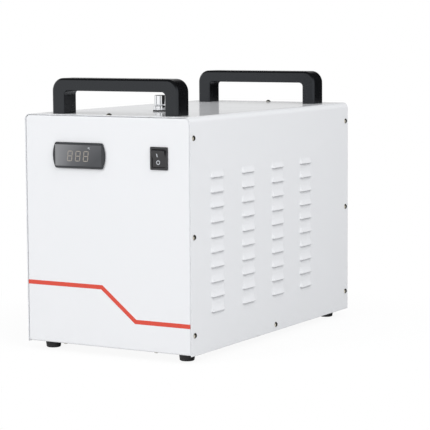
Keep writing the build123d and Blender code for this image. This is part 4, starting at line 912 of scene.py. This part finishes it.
class CHILLER_OT_display(bpy.types.Operator):
    """Dress the display and print its unlit digits"""

    bl_idname = "chiller.display"
    bl_label = "Display"

    def execute(self, context):
        sizes = context.scene.chiller_sizes
        dressed_copy("controller_bezel", 0.0003)
        face = window_low.y
        middle = cover_top - digit_drop
        digit = digit_eight(sizes)
        pieces = [placed_copy(digit, Matrix.Translation((x, face, middle))) for x in digit_places]
        bpy.data.objects.remove(digit, do_unlink=True)
        finish_piece(
            joined(pieces), "display_digits", "casing", finishes["digit_print"], "window_plastic",
        )
        ahead = face - mark_start
        ring = flat_ring(*degree_radii, (degree_place[0], ahead, middle + degree_place[1]))
        letter = flat_ring(*letter_radii, (letter_place[0], ahead, middle + letter_place[1]), letter_gap)
        degree = joined([laid_on(mark, "display_window", sizes.ink_thickness) for mark in (ring, letter)])
        finish_piece(degree, "display_degree_mark", "casing", finishes["mark_print"], "window_plastic")
        return {"FINISHED"}


class CHILLER_OT_switch(bpy.types.Operator):
    """Dress the rocker switch and print its two marks"""

    bl_idname = "chiller.switch"
    bl_label = "Switch"

    def execute(self, context):
        sizes = context.scene.chiller_sizes
        dressed_copy("switch_housing", 0.0003)
        dressed_copy("rocker", 0.0003, body="switch_rocker")
        centre_z = (rocker_low.z + rocker_high.z) / 2
        ahead = rocker_low.y - mark_start
        bar = flat_bar(*on_mark_size, (on_mark_place[0], ahead, centre_z + on_mark_place[1]))
        ring = flat_ring(*off_mark_radii, (off_mark_place[0], ahead, centre_z + off_mark_place[1]))
        for mark, name in ((bar, "rocker_bar_mark"), (ring, "rocker_ring_mark")):
            laid_on(mark, "rocker", sizes.ink_thickness)
            finish_piece(mark, name, "switch_rocker", finishes["mark_print"], "switch_plastic")
        return {"FINISHED"}


class CHILLER_OT_filler(bpy.types.Operator):
    """Dress the filler neck and its cap"""

    bl_idname = "chiller.filler"
    bl_label = "Filler"

    def execute(self, context):
        dressed_copy("filler_gasket", 0.0003)
        dressed_copy("filler_neck", 0.0003)
        dressed_copy("filler_cap", 0.0003, body="cap")
        return {"FINISHED"}


class CHILLER_OT_feet(bpy.types.Operator):
    """Dress the four rubber feet"""

    bl_idname = "chiller.feet"
    bl_label = "Feet"

    def execute(self, context):
        for node in frame["nodes"]:
            if node.startswith("foot_") and node not in ("foot_screws", "foot_nuts"):
                dressed_copy(node, 0.0005)
        return {"FINISHED"}


class CHILLER_OT_screws(bpy.types.Operator):
    """Drive the domed screws of the casing and the fan"""

    bl_idname = "chiller.screws"
    bl_label = "Screws"

    def execute(self, context):
        sizes = context.scene.chiller_sizes
        rows = [cover_low + rise for rise in side_screw_rises]
        seats = [
            facing(side * casing_half, y, z, (side, 0, 0))
            for side in (-1, 1) for y in (front_y + side_screw_inset, rear_y - side_screw_inset) for z in rows
        ]
        middle_y = (front_y + rear_y) / 2
        low_z = cover_low + low_screw_rise
        seats += [facing(side * casing_half, middle_y, low_z, (side, 0, 0)) for side in (-1, 1)]
        seats += [facing(0, y, cover_top, (0, 0, 1)) for y in (front_y + top_screw_inset, rear_y - top_screw_inset)]
        head, recess = sizes.screw_head_radius, sizes.recess_width
        screw = domed_screw(head, casing_screw_rise, shank_radius, casing_shank, recess)
        screw_group("casing_screws", screw, seats, "cover_screws")

        seats = [
            facing(side * underside_screw_x, y, underside_z, (0, 0, -1))
            for side in (-1, 1) for y in (front_y + underside_screw_inset, rear_y - underside_screw_inset)
        ]
        screw = domed_screw(head, underside_screw_rise, shank_radius, underside_shank, recess)
        screw_group("underside_screws", screw, seats, "panel_screws")

        spots = (-guard_screw_spread, guard_screw_spread)
        seats = [facing(x, rear_y + guard_eye_thickness, fan_z + z, (0, 1, 0)) for x in spots for z in spots]
        screw = domed_screw(guard_screw_radius, guard_screw_rise, shank_radius, guard_shank, recess)
        screw_group("guard_screws", screw, seats, "fan_screws")
        return {"FINISHED"}


class CHILLER_OT_fan(bpy.types.Operator):
    """Dress the fan and its frame"""

    bl_idname = "chiller.fan"
    bl_label = "Fan"

    def execute(self, context):
        dressed_copy("fan_frame", 0.0004)
        dressed_copy("fan_rotor", 0.0002, body="rotor")
        dressed_copy("fan_motor", 0.0003)
        return {"FINISHED"}


class CHILLER_OT_sockets(bpy.types.Operator):
    """Dress the sockets and fittings of the rear panel"""

    bl_idname = "chiller.sockets"
    bl_label = "Sockets and fittings"

    def execute(self, context):
        dressed_copy("power_inlet", 0.0003)
        dressed_copy("fuse_drawer", 0.0002, body="fuse_holder")
        dressed_copy("alarm_socket", 0.0002)
        for node in ("outlet_fitting", "return_fitting", "drain_fitting"):
            dressed_copy(node, 0.0002)
        dressed_copy("drain_cap", 0.0003, body="drain_plug")
        return {"FINISHED"}


def look_at(place, target):
    """Rotation of a lamp at a place that shines on a target."""
    return (Vector(target) - Vector(place)).to_track_quat("-Z", "Y").to_euler()


def studio_world():
    """White studio: soft even light, a white mirror image, and one dark flag at the right rear."""
    world = bpy.data.worlds.new("Studio")
    world.use_nodes = True
    bpy.context.scene.world = world
    tree = world.node_tree
    tree.nodes.clear()
    ray = tree.nodes.new("ShaderNodeLightPath")
    soft = node_in(tree, "ShaderNodeBackground", Color=(0.985, 0.99, 1.0, 1.0), Strength=0.66)
    seen = node_in(tree, "ShaderNodeBackground", Color=(1.0, 1.0, 1.0, 1.0), Strength=1.0)
    place = tree.nodes.new("ShaderNodeTexCoord").outputs["Generated"]
    direction = node_in(tree, "ShaderNodeSeparateXYZ", {0: place})
    towards = node_in(tree, "ShaderNodeVectorMath", {0: place}, operation="DOT_PRODUCT")
    towards.inputs[1].default_value = (0.66, 0.75, 0.0)
    flag = node_in(
        tree, "ShaderNodeMapRange", {"Value": towards.outputs["Value"]},
        interpolation_type="SMOOTHSTEP", From_Min=0.3, From_Max=0.62, To_Min=1.0, To_Max=0.03,
    )
    behind = node_in(
        tree, "ShaderNodeMapRange", {"Value": direction.outputs["Y"]},
        interpolation_type="SMOOTHSTEP", From_Min=-0.3, From_Max=0.5, To_Min=1.2, To_Max=0.7,
    )
    ceiling = node_in(
        tree, "ShaderNodeMapRange", {"Value": direction.outputs["Z"]},
        interpolation_type="SMOOTHSTEP", From_Min=0.3, From_Max=0.65, To_Min=0.94, To_Max=0.05,
    )
    walls = node_in(tree, "ShaderNodeMath", {0: flag.outputs[0], 1: behind.outputs[0]}, operation="MULTIPLY")
    level = node_in(tree, "ShaderNodeMath", {0: walls.outputs[0], 1: ceiling.outputs[0]}, operation="MULTIPLY")
    mirrored = node_in(tree, "ShaderNodeBackground", {"Strength": level.outputs[0]}, Color=(1.0, 1.0, 1.0, 1.0))
    first = node_in(tree, "ShaderNodeMixShader", {0: ray.outputs["Is Glossy Ray"]})
    tree.links.new(soft.outputs[0], first.inputs[1])
    tree.links.new(mirrored.outputs[0], first.inputs[2])
    second = node_in(tree, "ShaderNodeMixShader", {0: ray.outputs["Is Camera Ray"]})
    tree.links.new(first.outputs[0], second.inputs[1])
    tree.links.new(seen.outputs[0], second.inputs[2])
    output = tree.nodes.new("ShaderNodeOutputWorld")
    tree.links.new(second.outputs[0], output.inputs["Surface"])


def floor_material():
    """Pale floor that the camera sees almost white, with the faint shadow kept."""
    material = bpy.data.materials.new("studio_floor")
    material.use_nodes = True
    tree = material.node_tree
    shader = tree.nodes["Principled BSDF"]
    shader.inputs["Roughness"].default_value = 0.9
    shader.inputs["Specular IOR Level"].default_value = 0.0
    glow = node_in(tree, "ShaderNodeEmission", Color=(1.0, 1.0, 1.0, 1.0), Strength=1.0)
    ray = tree.nodes.new("ShaderNodeLightPath")
    tone = node_in(
        tree, "ShaderNodeMapRange", {"Value": ray.outputs["Is Camera Ray"]}, To_Min=0.6, To_Max=0.95,
    )
    tree.links.new(tone.outputs[0], shader.inputs["Base Color"])
    place = tree.nodes.new("ShaderNodeTexCoord").outputs["Object"]
    distance = node_in(tree, "ShaderNodeVectorMath", {0: place}, operation="LENGTH")
    away = node_in(
        tree, "ShaderNodeMapRange", {"Value": distance.outputs["Value"]},
        interpolation_type="SMOOTHSTEP", From_Min=0.2, From_Max=0.5, To_Min=0.9, To_Max=1.0,
    )
    share = node_in(
        tree, "ShaderNodeMath", {0: ray.outputs["Is Camera Ray"], 1: away.outputs[0]}, operation="MULTIPLY",
    )
    mixed = node_in(tree, "ShaderNodeMixShader", {0: share.outputs[0]})
    tree.links.new(shader.outputs[0], mixed.inputs[1])
    tree.links.new(glow.outputs[0], mixed.inputs[2])
    tree.links.new(mixed.outputs[0], tree.nodes["Material Output"].inputs["Surface"])
    return material


class CHILLER_OT_stage(bpy.types.Operator):
    """Set up the floor, the lamps, the studio and the camera"""

    bl_idname = "chiller.stage"
    bl_label = "Stage"

    def execute(self, context):
        bpy.ops.mesh.primitive_circle_add(vertices=96, radius=1.5, fill_type="NGON")
        floor = context.view_layer.objects.active
        floor.name = "studio_floor"
        floor.data.materials.append(floor_material())
        floor.visible_glossy = False

        for name, place, size, power in (
            ("key_lamp", (-1.6, -3.2, 1.9), 1.8, 41.0),
            ("side_lamp", (2.5, -1.1, 2.5), 2.6, 58.0),
        ):
            bpy.ops.object.light_add(type="AREA", location=place, rotation=look_at(place, (0, 0, 0.2)))
            lamp = context.view_layer.objects.active
            lamp.name = name
            lamp.data.shape = "DISK"
            lamp.data.size = size
            lamp.data.energy = power
            lamp.visible_glossy = False
        studio_world()

        level = Euler((camera_pitch, 0, camera_heading)).to_matrix()
        turn = level @ Matrix.Rotation(camera_roll, 3, "Z")
        bpy.ops.object.camera_add(location=camera_place, rotation=turn.to_euler())
        camera = context.view_layer.objects.active
        camera.name = "photo_camera"
        camera.data.sensor_width = sensor_width
        camera.data.lens = camera_lens
        context.scene.camera = camera
        context.scene.view_settings.view_transform = "Standard"
        return {"FINISHED"}


class CHILLER_PT_sidebar(bpy.types.Panel):
    """Lists the settings and the steps"""

    bl_idname = "CHILLER_PT_sidebar"
    bl_label = "Water Chiller"
    bl_space_type = "VIEW_3D"
    bl_region_type = "UI"
    bl_category = "Chiller"

    def draw(self, context):
        layout = self.layout
        for settings in (context.scene.chiller_sizes, context.scene.chiller_colours):
            for label in settings.bl_rna.properties.keys():
                if label not in ("rna_type", "name"):
                    layout.prop(settings, label)
        for operator in operators:
            layout.operator(operator.bl_idname)


operators = (
    CHILLER_OT_finishes, CHILLER_OT_stage, CHILLER_OT_casing, CHILLER_OT_stripe, CHILLER_OT_handles,
    CHILLER_OT_display, CHILLER_OT_switch, CHILLER_OT_filler, CHILLER_OT_feet, CHILLER_OT_screws,
    CHILLER_OT_fan, CHILLER_OT_sockets,
)
classes = (ChillerSizes, ChillerColours, *operators, CHILLER_PT_sidebar)


def register():
    """Register the classes and hang the settings on the scene."""
    for entry in classes:
        bpy.utils.register_class(entry)
    bpy.types.Scene.chiller_sizes = PointerProperty(type=ChillerSizes)
    bpy.types.Scene.chiller_colours = PointerProperty(type=ChillerColours)


def unregister():
    """Take the settings and classes away again."""
    del bpy.types.Scene.chiller_colours
    del bpy.types.Scene.chiller_sizes
    for entry in reversed(classes):
        bpy.utils.unregister_class(entry)


def main():
    """Dress the chiller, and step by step."""
    register()
    bpy.ops.chiller.finishes()
    bpy.ops.chiller.stage()
    bpy.ops.chiller.casing()
    bpy.ops.chiller.stripe()
    bpy.ops.chiller.handles()
    bpy.ops.chiller.display()
    bpy.ops.chiller.switch()
    bpy.ops.chiller.filler()
    bpy.ops.chiller.feet()
    bpy.ops.chiller.screws()
    bpy.ops.chiller.fan()
    bpy.ops.chiller.sockets()


if __name__ == "__main__":
    main()
